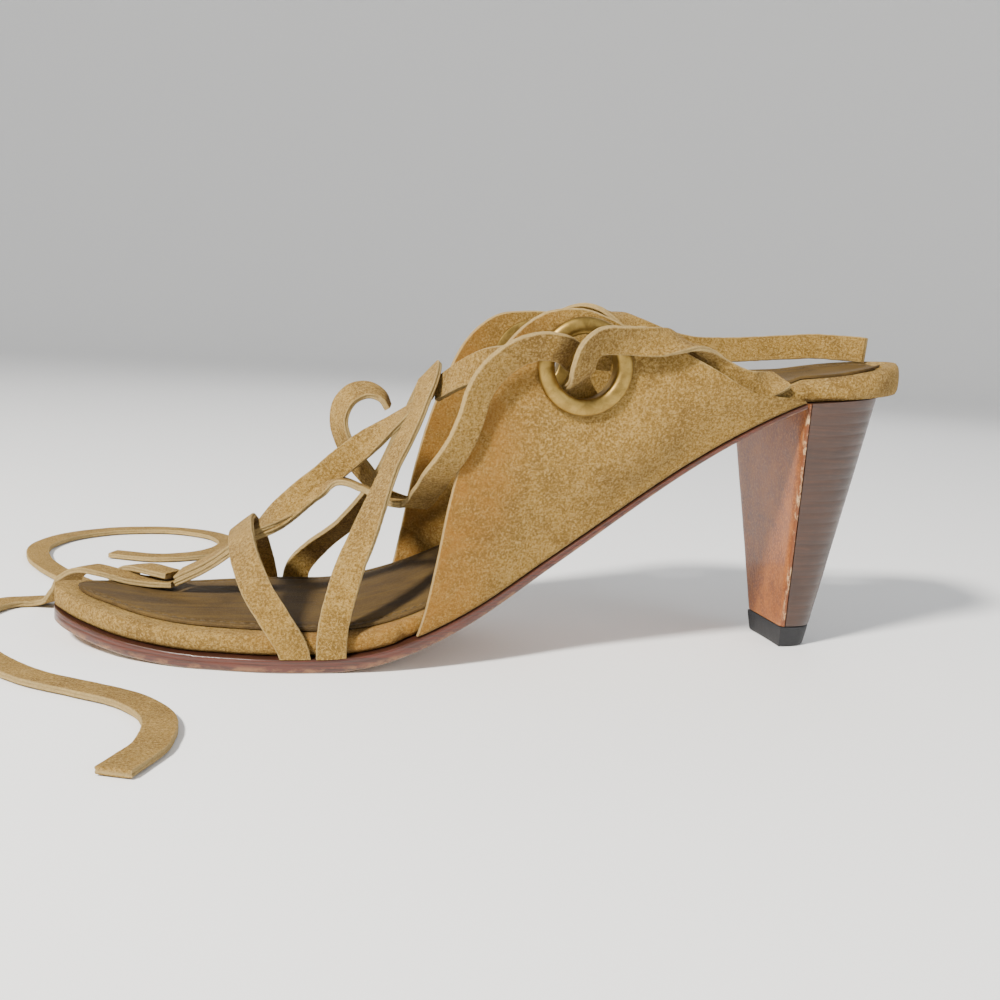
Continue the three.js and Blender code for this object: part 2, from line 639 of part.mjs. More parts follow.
const TIE_CURL = [
  { s: 141.0, y: -24.2, z: 64.0, roll: 0 },
  { s: 137.6, y: -24.0, z: 68.6, roll: 0 },
  { s: 134.8, y: -24.0, z: 72.6, roll: 0 },
  { s: 133.2, y: -26.2, z: 75.2, roll: 0 },
  { s: 132.4, y: -30.4, z: 76.2, roll: 0 },
  { s: 131.8, y: -34.8, z: 77.4, roll: 0 },
  { s: 131.6, y: -37.0, z: 80.2, roll: 0 },
  { s: 132.6, y: -37.4, z: 83.2, roll: 0 },
  { s: 136.0, y: -36.6, z: 86.0, roll: 0 },
  { s: 141.5, y: -34.8, z: 86.6, roll: 0 },
  { s: 147.0, y: -33.4, z: 86.6, roll: -10 },
  { s: 152.2, y: -32.4, z: 86.6, roll: -30 },
  { s: 157.0, y: -31.2, z: 87.1, roll: -62 },
  { s: 162.0, y: -29.4, z: 86.4, roll: -98 },
  { s: 167.0, y: -27.6, z: 83.2, roll: -145 },
  { s: 172.0, y: -26.8, z: 79.8, roll: -174 },
  { s: 177.0, y: -26.4, z: 77.6, roll: -180 },
  { s: 182.0, y: -25.6, z: 76.6, roll: -190 },
  { s: 187.0, y: -24.2, z: 76.8, roll: -222 },
  { s: 192.0, y: -22.6, z: 78.2, roll: -258 },
];
const TIE_MEDIAL = [
  { s: 141.0, y: 26.2, z: 64.0, roll: 0 },
  { s: 137.6, y: 26.0, z: 68.6, roll: 0 },
  { s: 134.8, y: 26.0, z: 72.6, roll: 0 },
  { s: 133.2, y: 28.2, z: 75.2, roll: 0 },
  { s: 132.4, y: 32.4, z: 76.2, roll: 0 },
  { s: 131.8, y: 36.8, z: 77.4, roll: 0 },
  { s: 131.6, y: 39.0, z: 80.2, roll: 0 },
  { s: 132.6, y: 39.2, z: 83.2, roll: 0 },
  { s: 136.0, y: 38.4, z: 86.6, roll: 0 },
  { s: 141.0, y: 36.6, z: 89.6, roll: 0 },
  { s: 146.0, y: 34.8, z: 92.4, roll: 30 },
  { s: 151.0, y: 32.4, z: 94.8, roll: 65 },
  { s: 156.0, y: 30.0, z: 95.0, roll: 95 },
  { s: 161.0, y: 27.9, z: 93.4, roll: 130 },
  { s: 166.0, y: 26.8, z: 90.6, roll: 160 },
  { s: 172.0, y: 26.4, z: 88.2, roll: 175 },
  { s: 180.0, y: 26.2, z: 86.0, roll: 180 },
  { s: 187.0, y: 25.8, z: 85.4, roll: 180 },
  { s: 194.0, y: 25.4, z: 85.6, roll: 180 },
  { s: 204.0, y: 24.4, z: 86.4, roll: 180 },
  { s: 213.0, y: 22.4, z: 87.4, roll: 180 },
  { s: 221.0, y: 18.6, z: 88.2, roll: 180 },
  { s: 227.6, y: 13.0, z: 88.2, roll: 180 },
  { s: 231.6, y: 6.0, z: 87.8, roll: 180 },
];
const TIE_EAR = [
  { s: 88.4, y: 10.2, z: 64.4, roll: -12 },
  { s: 86.6, y: 10.2, z: 67.4, roll: -18 },
  { s: 83.0, y: 10.2, z: 69.0, roll: -26 },
  { s: 78.6, y: 10.2, z: 68.0, roll: -34 },
  { s: 75.4, y: 10.2, z: 64.4, roll: -34 },
  { s: 74.6, y: 10.2, z: 59.6, roll: -28 },
  { s: 76.0, y: 10.2, z: 54.8, roll: -28 },
  { s: 78.8, y: 10.2, z: 50.2, roll: -34 },
  { s: 82.0, y: 9.8, z: 46.2, roll: -38 },
  { s: 85.2, y: 8.0, z: 43.0, roll: -30 },
  { s: 88.4, y: 4.6, z: 41.2, roll: -15 },
  { s: 91.4, y: 0.6, z: 40.2, roll: 0 },
];
const TIE_END_FAR = [
  { s: 30.4, y: 12.3, z: 14.9 },
  { s: 26.8, y: 14.8, z: 15.2 },
  { s: 22.4, y: 19.0, z: 15.4 },
  { s: 18.6, y: 25.0, z: 14.2 },
  { s: 15.6, y: 31.4, z: 10.6 },
  { s: 13.0, y: 37.4, z: 5.8 },
  { s: 10.0, y: 43.6, z: 2.2 },
  { s: 6.0, y: 51.0, z: 1.2 },
  { s: 0.0, y: 62.0, z: 1.2 },
  { s: -10.0, y: 80.0, z: 1.2 },
  { s: -19.0, y: 102.0, z: 1.2 },
  { s: -22.0, y: 126.0, z: 1.2 },
  { s: -15.0, y: 148.0, z: 1.2 },
  { s: 1.0, y: 163.0, z: 1.2 },
  { s: 22.0, y: 166.0, z: 1.2 },
  { s: 39.0, y: 154.0, z: 1.2 },
  { s: 44.0, y: 134.0, z: 1.2 },
  { s: 36.0, y: 116.0, z: 1.2 },
  { s: 20.0, y: 108.0, z: 1.2 },
  { s: 4.0, y: 114.0, z: 1.2 },
];
const TIE_END_NEAR = [
  { s: 30.9, y: 11.9, z: 12.6 },
  { s: 26.0, y: 13.4, z: 12.4 },
  { s: 19.0, y: 15.6, z: 12.9 },
  { s: 12.0, y: 18.4, z: 14.2 },
  { s: 6.0, y: 22.0, z: 14.4 },
  { s: 1.4, y: 26.6, z: 11.4 },
  { s: -1.6, y: 31.4, z: 6.4 },
  { s: -5.0, y: 35.6, z: 2.4 },
  { s: -10.0, y: 38.0, z: 1.2 },
  { s: -17.0, y: 36.0, z: 1.2 },
  { s: -22.0, y: 27.0, z: 1.2 },
  { s: -24.0, y: 14.0, z: 1.2 },
  { s: -22.0, y: -1.0, z: 1.2 },
  { s: -16.0, y: -16.0, z: 1.2 },
  { s: -8.0, y: -30.0, z: 1.2 },
  { s: 2.0, y: -42.0, z: 1.2 },
  { s: 14.0, y: -51.0, z: 1.2 },
  { s: 25.0, y: -60.0, z: 1.2 },
  { s: 32.0, y: -73.0, z: 1.2 },
  { s: 32.0, y: -89.0, z: 1.2 },
  { s: 26.0, y: -104.0, z: 1.2 },
];

// Finishes, from the real thing
const finish = (color, roughness, metalness = 0) =>
  new THREE.MeshStandardMaterial({ color, roughness, metalness });
const SUEDE = finish(0xb08f55, 0.95);
const SOCK_LEATHER = finish(0x6a4f2a, 0.8);
const SOLE_LEATHER = finish(0x7a4a30, 0.6);
const STACKED_LEATHER = finish(0x4d2c1a, 0.5);
const COVER_LEATHER = finish(0x8f5a30, 0.5);
const RUBBER = finish(0x17171a, 0.7);
const BRASS = finish(0x8a7440, 0.4, 1);

// Assembly
const shoe = new THREE.Group();
function put(name, geometry, material) {
  const mesh = new THREE.Mesh(geometry, material);
  mesh.name = name;
  shoe.add(mesh);
}

put("outsole", outsole(), SOLE_LEATHER);
put("footbed", footbed(), SUEDE);
put("insole_sock", insoleSock(), SOCK_LEATHER);
put("heel", heel(), STACKED_LEATHER);
put("heel_breast_cover", breastCover(), COVER_LEATHER);
put("top_piece", topPiece(), RUBBER);
put("panel_lateral", panel(-1), SUEDE);
put("panel_medial", panel(1), SUEDE);
put("eyelet_lateral", eyelet(-1), BRASS);
put("eyelet_medial", eyelet(1), BRASS);
put("toe_band_front", toeBand(FRONT_BAND, FRONT_BAND_RISE, 34), SUEDE);
put("toe_band_rear", toeBand(REAR_BAND, REAR_BAND_RISE, 42), SUEDE);
put("tie_crossings", tieCrossings(), SUEDE);

// The origin is on the floor, under the middle of the shoe's own box
const box = new THREE.Box3().setFromObject(shoe);
const centre = box.getCenter(new THREE.Vector3());
shoe.position.set(-centre.x, -centre.y, -box.min.z);

put("tie_inner", strap(TIE_INNER, carried(0, 1, 0), 16), SUEDE);
put("tie_rise", strap(TIE_RISE, carried(1, 0, 0), 28), SUEDE);
put("tie_curl", strap(TIE_CURL, carried(1, 0, 0), 30), SUEDE);
put("tie_medial", strap(TIE_MEDIAL, carried(1, 0, 0), 32), SUEDE);
put("tie_ear", strap(TIE_EAR, sideways, 18), SUEDE);
put("tie_end_far", strap(TIE_END_FAR, level, 30), SUEDE);
put("tie_end_near", strap(TIE_END_NEAR, level, 32), SUEDE);

export default shoe;
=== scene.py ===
"""Strappy heeled sandal, left shoe: suede straps and side panels, large brass eyelets.

Sizes in this file are millimetres, and a place on the shoe is (s, y, z): s runs from the tip
of the toe back to the heel, y towards the inside of the foot, z up from the floor.
"""
import math
from types import SimpleNamespace

import bmesh
import bpy
from mathutils import Matrix, Quaternion, Vector, noise


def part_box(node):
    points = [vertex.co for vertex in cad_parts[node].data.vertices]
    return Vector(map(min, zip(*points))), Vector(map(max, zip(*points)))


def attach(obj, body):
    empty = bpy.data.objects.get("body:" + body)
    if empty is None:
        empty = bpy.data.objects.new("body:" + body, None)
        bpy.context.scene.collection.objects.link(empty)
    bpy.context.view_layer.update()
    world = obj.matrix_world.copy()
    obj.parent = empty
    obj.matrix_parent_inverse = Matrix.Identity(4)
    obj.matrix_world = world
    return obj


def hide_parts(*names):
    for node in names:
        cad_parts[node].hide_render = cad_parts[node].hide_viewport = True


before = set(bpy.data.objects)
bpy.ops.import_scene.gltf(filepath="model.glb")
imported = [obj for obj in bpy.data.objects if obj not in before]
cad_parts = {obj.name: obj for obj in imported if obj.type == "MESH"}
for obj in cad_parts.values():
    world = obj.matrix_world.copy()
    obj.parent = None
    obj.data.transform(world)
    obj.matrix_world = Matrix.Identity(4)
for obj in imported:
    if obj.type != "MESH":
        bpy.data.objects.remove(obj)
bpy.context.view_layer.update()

bl_info = {
    "name": "Strappy heeled sandal",
    "version": (1, 0, 0),
    "blender": (4, 5, 0),
    "location": "3D Viewport > Sidebar > Sandal",
    "description": "Builds the detailed pieces of a strappy heeled sandal round its solids",
    "category": "Add Mesh",
}

# Driving sizes, the same as in the solids
LENGTH = 236
BALL_WIDTH = 76
WAIST_WIDTH = 52
SEAT_WIDTH = 55
HEEL_HEIGHT = 71
SEAT_RISE = 3.6
TOE_SPRING = 5
SHANK_SLOPE = 0.42
GAP = 0.3
OUTSOLE = 3.6
OUTSOLE_END = 1.2
OUTSOLE_STEP = 2.0
FOOTBED_TOE = 5.2
FOOTBED_BREAST = 6.2
FOOTBED_BACK = 8.6
SEAT_CUP = 2.4
SOCK = 0.9
SOCK_INSET = 4.2
SHOULDER = 2.2
RIM_BAND = 9
TOE_ROUND = 8
PANEL_WALL = 2.2
PANEL_SPREAD = 61
PANEL_BULGE = 2.6
PANEL_SEAT = 1.0
EYELET_OUTER = 25.6
EYELET_HOLE = 16.6
EYELET_BARREL = 20.6
EYELET_DOME = 2.1
EYELET_HEIGHT = 79.4
RIM_MARGIN = 2.0
HEEL_TOP_WIDTH = 53
HEEL_TOP_BACK = 9
HEEL_FOOT_WIDTH = 21
HEEL_FOOT_DEPTH = 10.5
HEEL_FOOT_SET = 5.6
BREAST_COVER = 1.2
TOP_PIECE = 6.2
FRONT_BAND_RISE = 27.4
REAR_BAND_RISE = 64.2
FLAT_FROM = 0.17 * LENGTH
FLAT_TO = 0.29 * LENGTH
BREAST = 0.84 * LENGTH
PANEL_FRONT = 0.386 * LENGTH
EYELET_AT = 0.568 * LENGTH
PANEL_TOP = EYELET_HEIGHT + EYELET_OUTER / 2 + RIM_MARGIN

# Sole outline: share of the length, width that the row follows, share of half that width,
# centre line's offset to the inside as a share of the ball's width
OUTLINE = [
    (0.0, BALL_WIDTH, 0.0, 0.056),
    (0.013, BALL_WIDTH, 0.272, 0.056),
    (0.042, BALL_WIDTH, 0.478, 0.05),
    (0.093, BALL_WIDTH, 0.71, 0.038),
    (0.17, BALL_WIDTH, 0.895, 0.027),
    (0.263, BALL_WIDTH, 1.0, 0.026),
    (0.347, BALL_WIDTH, 0.985, 0.018),
    (0.445, BALL_WIDTH, 0.875, 0.01),
    (0.55, WAIST_WIDTH, 1.05, 0.014),
    (0.68, WAIST_WIDTH, 0.985, 0.01),
    (0.84, SEAT_WIDTH, 1.0, -0.004),
    (0.924, SEAT_WIDTH, 0.9, -0.004),
    (0.975, SEAT_WIDTH, 0.61, 0.0),
    (1.0, SEAT_WIDTH, 0.0, 0.0),
]

# Side view of a panel: share of the way from its front to the heel breast, then the share of
# the way from the floor to the rim, lateral and medial
PANEL_EDGE = [
    (0.0, 0.04, 0.04),
    (0.03, 0.14, 0.14),
    (0.055, 0.285, 0.285),
    (0.08, 0.457, 0.457),
    (0.115, 0.63, 0.63),
    (0.155, 0.77, 0.77),
    (0.21, 0.9, 0.9),
    (0.29, 0.98, 0.98),
    (0.385, 1.0, 1.0),
    (0.466, 0.975, 1.0),
    (0.522, 0.945, 0.998),
    (0.578, 0.928, 0.99),
    (0.643, 0.902, 0.975),
    (0.727, 0.855, 0.94),
    (0.811, 0.808, 0.88),
    (0.882, 0.779, 0.825),
    (1.0, 0.776, 0.776),
]

# Toe bands: share of the length, -1 lateral to 1 medial edge, share of the rise, roll degrees
FRONT_BAND = [
    (0.266, -1.0, -0.08, 0), (0.26, -1.0, 0.1, 0), (0.243, -0.99, 0.34, -6),
    (0.224, -0.86, 0.57, -18), (0.211, -0.62, 0.79, -32), (0.206, -0.33, 0.94, -38),
    (0.206, -0.04, 1.0, -40), (0.21, 0.24, 0.97, -38), (0.217, 0.52, 0.83, -32),
    (0.226, 0.78, 0.6, -22), (0.234, 0.95, 0.36, -12), (0.238, 1.0, 0.17, 0),
    (0.239, 1.0, -0.08, 0),
]
REAR_BAND = [
    (0.302, -1.0, -0.03, 0), (0.302, -1.0, 0.065, 0), (0.306, -0.985, 0.17, -4),
    (0.317, -0.91, 0.31, -14), (0.338, -0.74, 0.48, -32), (0.366, -0.5, 0.68, -60),
    (0.398, -0.37, 0.88, -66), (0.411, -0.21, 0.985, -48), (0.416, -0.06, 1.01, -48),
    (0.413, 0.1, 0.955, -46), (0.4, 0.3, 0.79, -38), (0.375, 0.52, 0.56, -28),
    (0.34, 0.75, 0.37, -20), (0.302, 0.92, 0.24, -12), (0.281, 0.99, 0.14, -6),
    (0.276, 1.0, 0.06, 0), (0.275, 1.0, -0.03, 0),
]

# The tie's two strands on the instep: share of the length, of the ball's width, of the heel,
# and roll
UPPER_STRAND = [
    (0.4178, -0.0684, 0.9831, 0), (0.4047, -0.0421, 0.9408, 0), (0.3729, 0, 0.8451, -22),
    (0.339, 0.0263, 0.7521, -62), (0.2966, 0.0395, 0.6254, -80), (0.2542, 0.0526, 0.5042, -46),
    (0.2097, 0.0724, 0.3831, 6), (0.1695, 0.1053, 0.2817, 0), (0.1356, 0.1513, 0.2141, 0),
]
LOWER_STRAND = [
    (0.3898, -0.125, 0.5563, 0), (0.3686, -0.0789, 0.5634, 0), (0.3432, -0.0263, 0.5986, 0),
    (0.3178, 0.0132, 0.6197, 0), (0.2924, 0.0395, 0.5915, -40), (0.2542, 0.0526, 0.4845, -44),
    (0.2097, 0.0724, 0.3606, 6), (0.1695, 0.1053, 0.2606, 0), (0.1356, 0.1513, 0.193, 0),
]

# Free runs of the tie: s, y, z and roll. They lie where the solids do.
TIE_INNER = [
    (99.7, -6.0, 70.8, 30), (103.6, -11.4, 74.4, 40), (108.0, -16.6, 77.6, 55),
    (112.6, -20.6, 79.6, 72), (117.4, -22.6, 79.8, 85), (121.6, -22.8, 77.4, 90),
    (124.2, -22.8, 72.6, 90), (125.4, -23.0, 67.0, 90), (125.8, -23.4, 61.0, 90),
]
TIE_RISE = [
    (94.0, -11.6, 39.6, 0), (95.2, -15.6, 41.6, 0), (95.6, -21.0, 44.6, 0),
    (96.2, -26.6, 47.6, 0), (96.6, -31.6, 50.4, 0), (98.8, -35.3, 54.6, 0),
    (101.6, -35.8, 59.6, 0), (103.8, -35.0, 65.4, 0), (105.4, -34.6, 71.0, 0),
    (108.2, -34.4, 76.2, 0), (112.2, -34.2, 80.2, 0), (117.0, -34.4, 83.0, 0),
    (121.4, -34.4, 84.2, 0), (125.0, -34.1, 84.0, 0), (128.0, -31.8, 83.2, 0),
    (130.2, -28.6, 82.2, 0), (132.6, -25.6, 81.2, 0), (137.0, -24.2, 82.0, 0),
    (143.0, -24.0, 82.0, 0),
]
TIE_CURL = [
    (141.0, -24.2, 64.0, 0), (137.6, -24.0, 68.6, 0), (134.8, -24.0, 72.6, 0),
    (133.2, -26.2, 75.2, 0), (132.4, -30.4, 76.2, 0), (131.8, -34.8, 77.4, 0),
    (131.6, -37.0, 80.2, 0), (132.6, -37.4, 83.2, 0), (136.0, -36.6, 86.0, 0),
    (141.5, -34.8, 86.6, 0), (147.0, -33.4, 86.6, -10), (152.2, -32.4, 86.6, -30),
    (157.0, -31.2, 87.1, -62), (162.0, -29.4, 86.4, -98), (167.0, -27.6, 83.2, -145),
    (172.0, -26.8, 79.8, -174), (177.0, -26.4, 77.6, -180), (182.0, -25.6, 76.6, -190),
    (187.0, -24.2, 76.8, -222), (192.0, -22.6, 78.2, -258),
]
TIE_MEDIAL = [
    (141.0, 26.2, 64.0, 0), (137.6, 26.0, 68.6, 0), (134.8, 26.0, 72.6, 0),
    (133.2, 28.2, 75.2, 0), (132.4, 32.4, 76.2, 0), (131.8, 36.8, 77.4, 0),
    (131.6, 39.0, 80.2, 0), (132.6, 39.2, 83.2, 0), (136.0, 38.4, 86.6, 0),
    (141.0, 36.6, 89.6, 0), (146.0, 34.8, 92.4, 30), (151.0, 32.4, 94.8, 65),
    (156.0, 30.0, 95.0, 95), (161.0, 27.9, 93.4, 130), (166.0, 26.8, 90.6, 160),
    (172.0, 26.4, 88.2, 175), (180.0, 26.2, 86.0, 180), (187.0, 25.8, 85.4, 180),
    (194.0, 25.4, 85.6, 180), (204.0, 24.4, 86.4, 180), (213.0, 22.4, 87.4, 180),
    (221.0, 18.6, 88.2, 180), (227.6, 13.0, 88.2, 180), (231.6, 6.0, 87.8, 180),
]
TIE_EAR = [
    (88.4, 10.2, 64.4, -12), (86.6, 10.2, 67.4, -18), (83.0, 10.2, 69.0, -26),
    (78.6, 10.2, 68.0, -34), (75.4, 10.2, 64.4, -34), (74.6, 10.2, 59.6, -28),
    (76.0, 10.2, 54.8, -28), (78.8, 10.2, 50.2, -34), (82.0, 9.8, 46.2, -38),
    (85.2, 8.0, 43.0, -30), (88.4, 4.6, 41.2, -15), (91.4, 0.6, 40.2, 0),
]
STRAP_ON_FLOOR = 1.2


def on_floor(*places):
    """Rows of a strap that lies flat on the floor, from its places (s, y)."""
    return [(s, y, STRAP_ON_FLOOR, 0) for s, y in places]


TIE_END_FAR = [
    (30.4, 12.3, 14.9, 0), (26.8, 14.8, 15.2, 0), (22.4, 19.0, 15.4, 0),
    (18.6, 25.0, 14.2, 0), (15.6, 31.4, 10.6, 0), (13.0, 37.4, 5.8, 0), (10.0, 43.6, 2.2, 0),
    *on_floor(
        (6.0, 51.0), (0.0, 62.0), (-10.0, 80.0), (-19.0, 102.0), (-22.0, 126.0), (-15.0, 148.0),
        (1.0, 163.0), (22.0, 166.0), (39.0, 154.0), (44.0, 134.0), (36.0, 116.0), (20.0, 108.0),
        (4.0, 114.0),
    ),
]
TIE_END_NEAR = [
    (30.9, 11.9, 12.6, 0), (26.0, 13.4, 12.4, 0), (19.0, 15.6, 12.9, 0), (12.0, 18.4, 14.2, 0),
    (6.0, 22.0, 14.4, 0), (1.4, 26.6, 11.4, 0), (-1.6, 31.4, 6.4, 0), (-5.0, 35.6, 2.4, 0),
    *on_floor(
        (-10.0, 38.0), (-17.0, 36.0), (-22.0, 27.0), (-24.0, 14.0), (-22.0, -1.0), (-16.0, -16.0),
        (-8.0, -30.0), (2.0, -42.0), (14.0, -51.0), (25.0, -60.0), (32.0, -73.0), (32.0, -89.0),
        (26.0, -104.0),
    ),
]

# Edge of the outsole from its underside up: inset, share of the height, how far up its colours
# are, and how far it belongs to the underside
OUTSOLE_EDGE = [
    (0.9, 0.0, 0.0, 1.0), (0.35, 0.06, 0.02, 0.7), (0.1, 0.2, 0.12, 0.0), (0.0, 0.42, 0.3, 0.0),
    (0.02, 0.62, 0.5, 0.0), (0.08, 0.68, 0.6, 0.0), (0.02, 0.74, 0.7, 0.0),
    (0.02, 0.9, 0.86, 0.0), (0.2, 0.985, 0.95, 0.0), (0.5, 1.0, 1.0, 0.0),
]

# Wrapped edge of the footbed from below: out from its side, share of its height
FOOTBED_EDGE = [(-1.3, 0.0), (-0.2, 0.2), (0.0, 0.5), (-0.5, 0.82), (-SHOULDER, 1.0)]

# Rubber top piece from the floor up: share of its height, how far it stands out
LIFT_PROFILE = [
    (0.0, -0.9), (0.02, -0.45), (0.08, -0.1), (0.2, 0.0), (0.45, 0.0), (0.7, 0.0), (0.9, 0.0),
    (0.97, -0.08), (1.0, -0.3),
]


# Numbers and curves


def mix(a, b, t):
    return a + (b - a) * t


def clamp(value):
    return min(1.0, max(0.0, value))


def smooth(a, b, value):
    t = clamp((value - a) / (b - a))
    return t * t * (3 - 2 * t)


def spaced(count, start, end):
    return [mix(start, end, i / count) for i in range(count + 1)]


def through(xs, ys):
    """A smooth curve through the points of a table that doesn't overshoot them."""
    n = len(xs)
    slopes = [(ys[i + 1] - ys[i]) / (xs[i + 1] - xs[i]) for i in range(n - 1)]
    tangents = [slopes[0]]
    for before, after in zip(slopes, slopes[1:]):
        product = before * after
        tangents.append(0 if product <= 0 else 2 * product / (before + after))
    tangents.append(slopes[-1])

    def curve(x):
        i = 0
        while i < n - 2 and x > xs[i + 1]:
            i += 1
        h = xs[i + 1] - xs[i]
        t = clamp((x - xs[i]) / h)
        a = ys[i] * (1 + 2 * t) * (1 - t) ** 2 + ys[i + 1] * t * t * (3 - 2 * t)
        return a + h * t * (1 - t) * (tangents[i] * (1 - t) - tangents[i + 1] * t)

    return curve


def turn(at):
    """A share of the length as an angle, so that toe and heel come out round."""
    return math.acos(1 - 2 * clamp(at)) / math.pi


TURNS = [turn(row[0]) for row in OUTLINE]
half_curve = through(TURNS, [row[2] * row[1] / 2 for row in OUTLINE])
mid_curve = through(TURNS, [row[3] * BALL_WIDTH for row in OUTLINE])


def half(s):
    return half_curve(turn(s / LENGTH))


def mid(s):
    return mid_curve(turn(s / LENGTH))


def under(s):
    """Underside of the outsole."""
    if s < FLAT_FROM:
        return TOE_SPRING * ((FLAT_FROM - s) / FLAT_FROM) ** 2
    if s < FLAT_TO:
        return 0
    if s < BREAST:
        run = BREAST - FLAT_TO
        t = (s - FLAT_TO) / run
        return HEEL_HEIGHT * t * t * (3 - 2 * t) + SHANK_SLOPE * run * t * t * (t - 1)
    return HEEL_HEIGHT + SEAT_RISE * (s - BREAST) / (LENGTH - BREAST)


def sole_top(s):
    return under(s) + mix(OUTSOLE, OUTSOLE_END, smooth(FLAT_TO, BREAST, s))


def footbed_edge(s):
    if s < BREAST:
        return mix(FOOTBED_TOE, FOOTBED_BREAST, smooth(FLAT_TO, BREAST, s))
    return mix(FOOTBED_BREAST, FOOTBED_BACK, smooth(BREAST, LENGTH, s))


def footbed_half(s):
    forefoot = half(s) - OUTSOLE_STEP * clamp(half(s) / TOE_ROUND)
    beside_panel = half(s) - PANEL_SEAT - PANEL_WALL - GAP
    front = mix(forefoot, beside_panel, smooth(PANEL_FRONT - 4, PANEL_FRONT - 1, s))
    return mix(front, half(s), smooth(BREAST + 1, BREAST + 14, s))


def slimness(s):
    return clamp(footbed_half(s) / RIM_BAND)


def footbed_top(s, y):
    cup = SEAT_CUP * smooth(0.7 * LENGTH, BREAST, s) * slimness(s)
    rim = sole_top(s) + GAP + footbed_edge(s)
    away = abs(y - mid(s))
    shoulder = footbed_half(s) - SHOULDER * slimness(s)
    inner = footbed_half(s) - RIM_BAND * slimness(s)
    if away < inner:
        return mix(rim - cup, rim - 0.45 * cup, away / inner)
    return rim - 0.45 * cup * (1 - clamp((away - inner) / (shoulder - inner + 1e-6)))


def stations(count, start, end):
    """Places along the length that crowd towards the toe and the heel."""
    turned = spaced(count, turn(start / LENGTH), turn(end / LENGTH))
    return [LENGTH * (1 - math.cos(math.pi * t)) / 2 for t in turned]


def ripple(s, y, z, wave, seed=0.0):
    """Even noise from -1 to 1 whose waves are about so many millimetres long."""
    return noise.noise(Vector((s / wave + seed, y / wave, z / wave)))


# Straps: a flat section carried along a curve

CORNER_SHARE = 0.42
FACE_MARGIN = 0.25
FACE_CROWN = 0.05
CORNER_DROP = 0.03
WANDER_WAVE = 9.0
FRAY_WAVE = 1.6
NAP_WAVE = 5.0
NAP_HEIGHT = 0.06


def curve_point(points, t):
    """A point of the centripetal curve through the points, t from 0 to 1."""
    last = len(points) - 1
    place = last * t
    i = int(math.floor(place))
    w = place - i
    if w == 0 and i == last:
        i, w = last - 1, 1.0
    p1, p2 = points[i], points[i + 1]
    p0 = points[i - 1] if i > 0 else 2 * points[0] - points[1]
    p3 = points[i + 2] if i + 2 <= last else 2 * points[last] - points[last - 1]
    dt0, dt1, dt2 = ((b - a).length_squared ** 0.25 for a, b in ((p0, p1), (p1, p2), (p2, p3)))
    if dt1 < 1e-4:
        dt1 = 1.0
    if dt0 < 1e-4:
        dt0 = dt1
    if dt2 < 1e-4:
        dt2 = dt1
    t1 = ((p1 - p0) / dt0 - (p2 - p0) / (dt0 + dt1) + (p2 - p1) / dt1) * dt1
    t2 = ((p2 - p1) / dt1 - (p3 - p1) / (dt1 + dt2) + (p3 - p2) / dt2) * dt1
    c2 = 3 * (p2 - p1) - 2 * t1 - t2
    c3 = 2 * (p1 - p2) + t1 + t2
    return p1 + t1 * w + c2 * w * w + c3 * w ** 3


def curve_along(points, t):
    before, after = max(0, t - 1e-4), min(1, t + 1e-4)
    return (curve_point(points, after) - curve_point(points, before)).normalized()


def lengthways(along):
    return Vector((1, 0, 0))


def sideways(along):
    return Vector((0, 1, 0))


def level(along):
    return Vector((-along.y, along.x, 0))


def carried(*start):
    """A width that starts in one direction and goes along the strap without a twist."""
    width = Vector(start)

    def across(along):
        nonlocal width
        width = (width - along * width.dot(along)).normalized()
        return width.copy()

    return across


def strap_section(width, thick, groove):
    """Points round a strap of two bonded layers: across, up, and the share of cut edge."""
    a, b = width / 2, thick / 2
    corner = CORNER_SHARE * thick / 2
    flat = a - corner - FACE_MARGIN
    face = [(share * flat, b - FACE_CROWN * share * share, 0.0) for share in spaced(8, -1, 1)]
    rounded = []
    for angle in spaced(3, 0, math.pi / 2):
        across = a - corner + corner * math.sin(angle)
        up = b - corner + corner * math.cos(angle) - CORNER_DROP
        rounded.append((across, up, 0.5 + angle / math.pi))
    side = [(a, 0.2 * thick, 1.0), (a - 0.05, 0.09 * thick, 1.0), (a - groove, 0.0, 1.0)]
    quarter = [*rounded, *side]
    lower = [(w, -t, e) for w, t, e in reversed(quarter[:-1])]
    right = [*quarter, *lower]
    left = [(-w, t, e) for w, t, e in reversed(right)]
    return [*face, *right, *((w, -t, e) for w, t, e in reversed(face)), *left]


def strap_rings(rows, across, steps, sizes, seed):
    """Rings of section points, the share of cut edge at each, and the line they follow."""
    line = [Vector(row[:3]) for row in rows]
    rolls = [Vector((row[3], 0, 0)) for row in rows]
    section = strap_section(sizes.strap_width, sizes.strap_thickness, sizes.strap_groove)
    fray = 0.5 * sizes.strap_waver
    rings, edges, path = [], [], []
    for t in spaced(steps, 0, 1):
        centre = curve_point(line, t)
        along = curve_along(line, t)
        width = across(along)
        width = (width - along * width.dot(along)).normalized()
        width = Quaternion(along, math.radians(curve_point(rolls, t).x)) @ width
        face = along.cross(width)
        wander = sizes.strap_waver * ripple(*centre, WANDER_WAVE, seed)
        ring = []
        for wide, thick, edge in section:
            place = centre + width * (wide + wander) + face * thick
            place += width * (math.copysign(fray, wide) * edge * ripple(*place, FRAY_WAVE, seed))
            place += face * (NAP_HEIGHT * ripple(*place, NAP_WAVE, seed + 7))
            ring.append(tuple(place))
        rings.append(ring)
        edges.extend(edge for _, _, edge in section)
        path.append(centre)
    return rings, edges, path


# Meshes

WELD = 2e-6
ORIGIN_S = -1000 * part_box("outsole")[0].x
EYELET_MIDDLE = (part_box("eyelet_lateral")[0].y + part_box("eyelet_medial")[1].y) / 2
ORIGIN_Y = mid(EYELET_AT) - 1000 * EYELET_MIDDLE


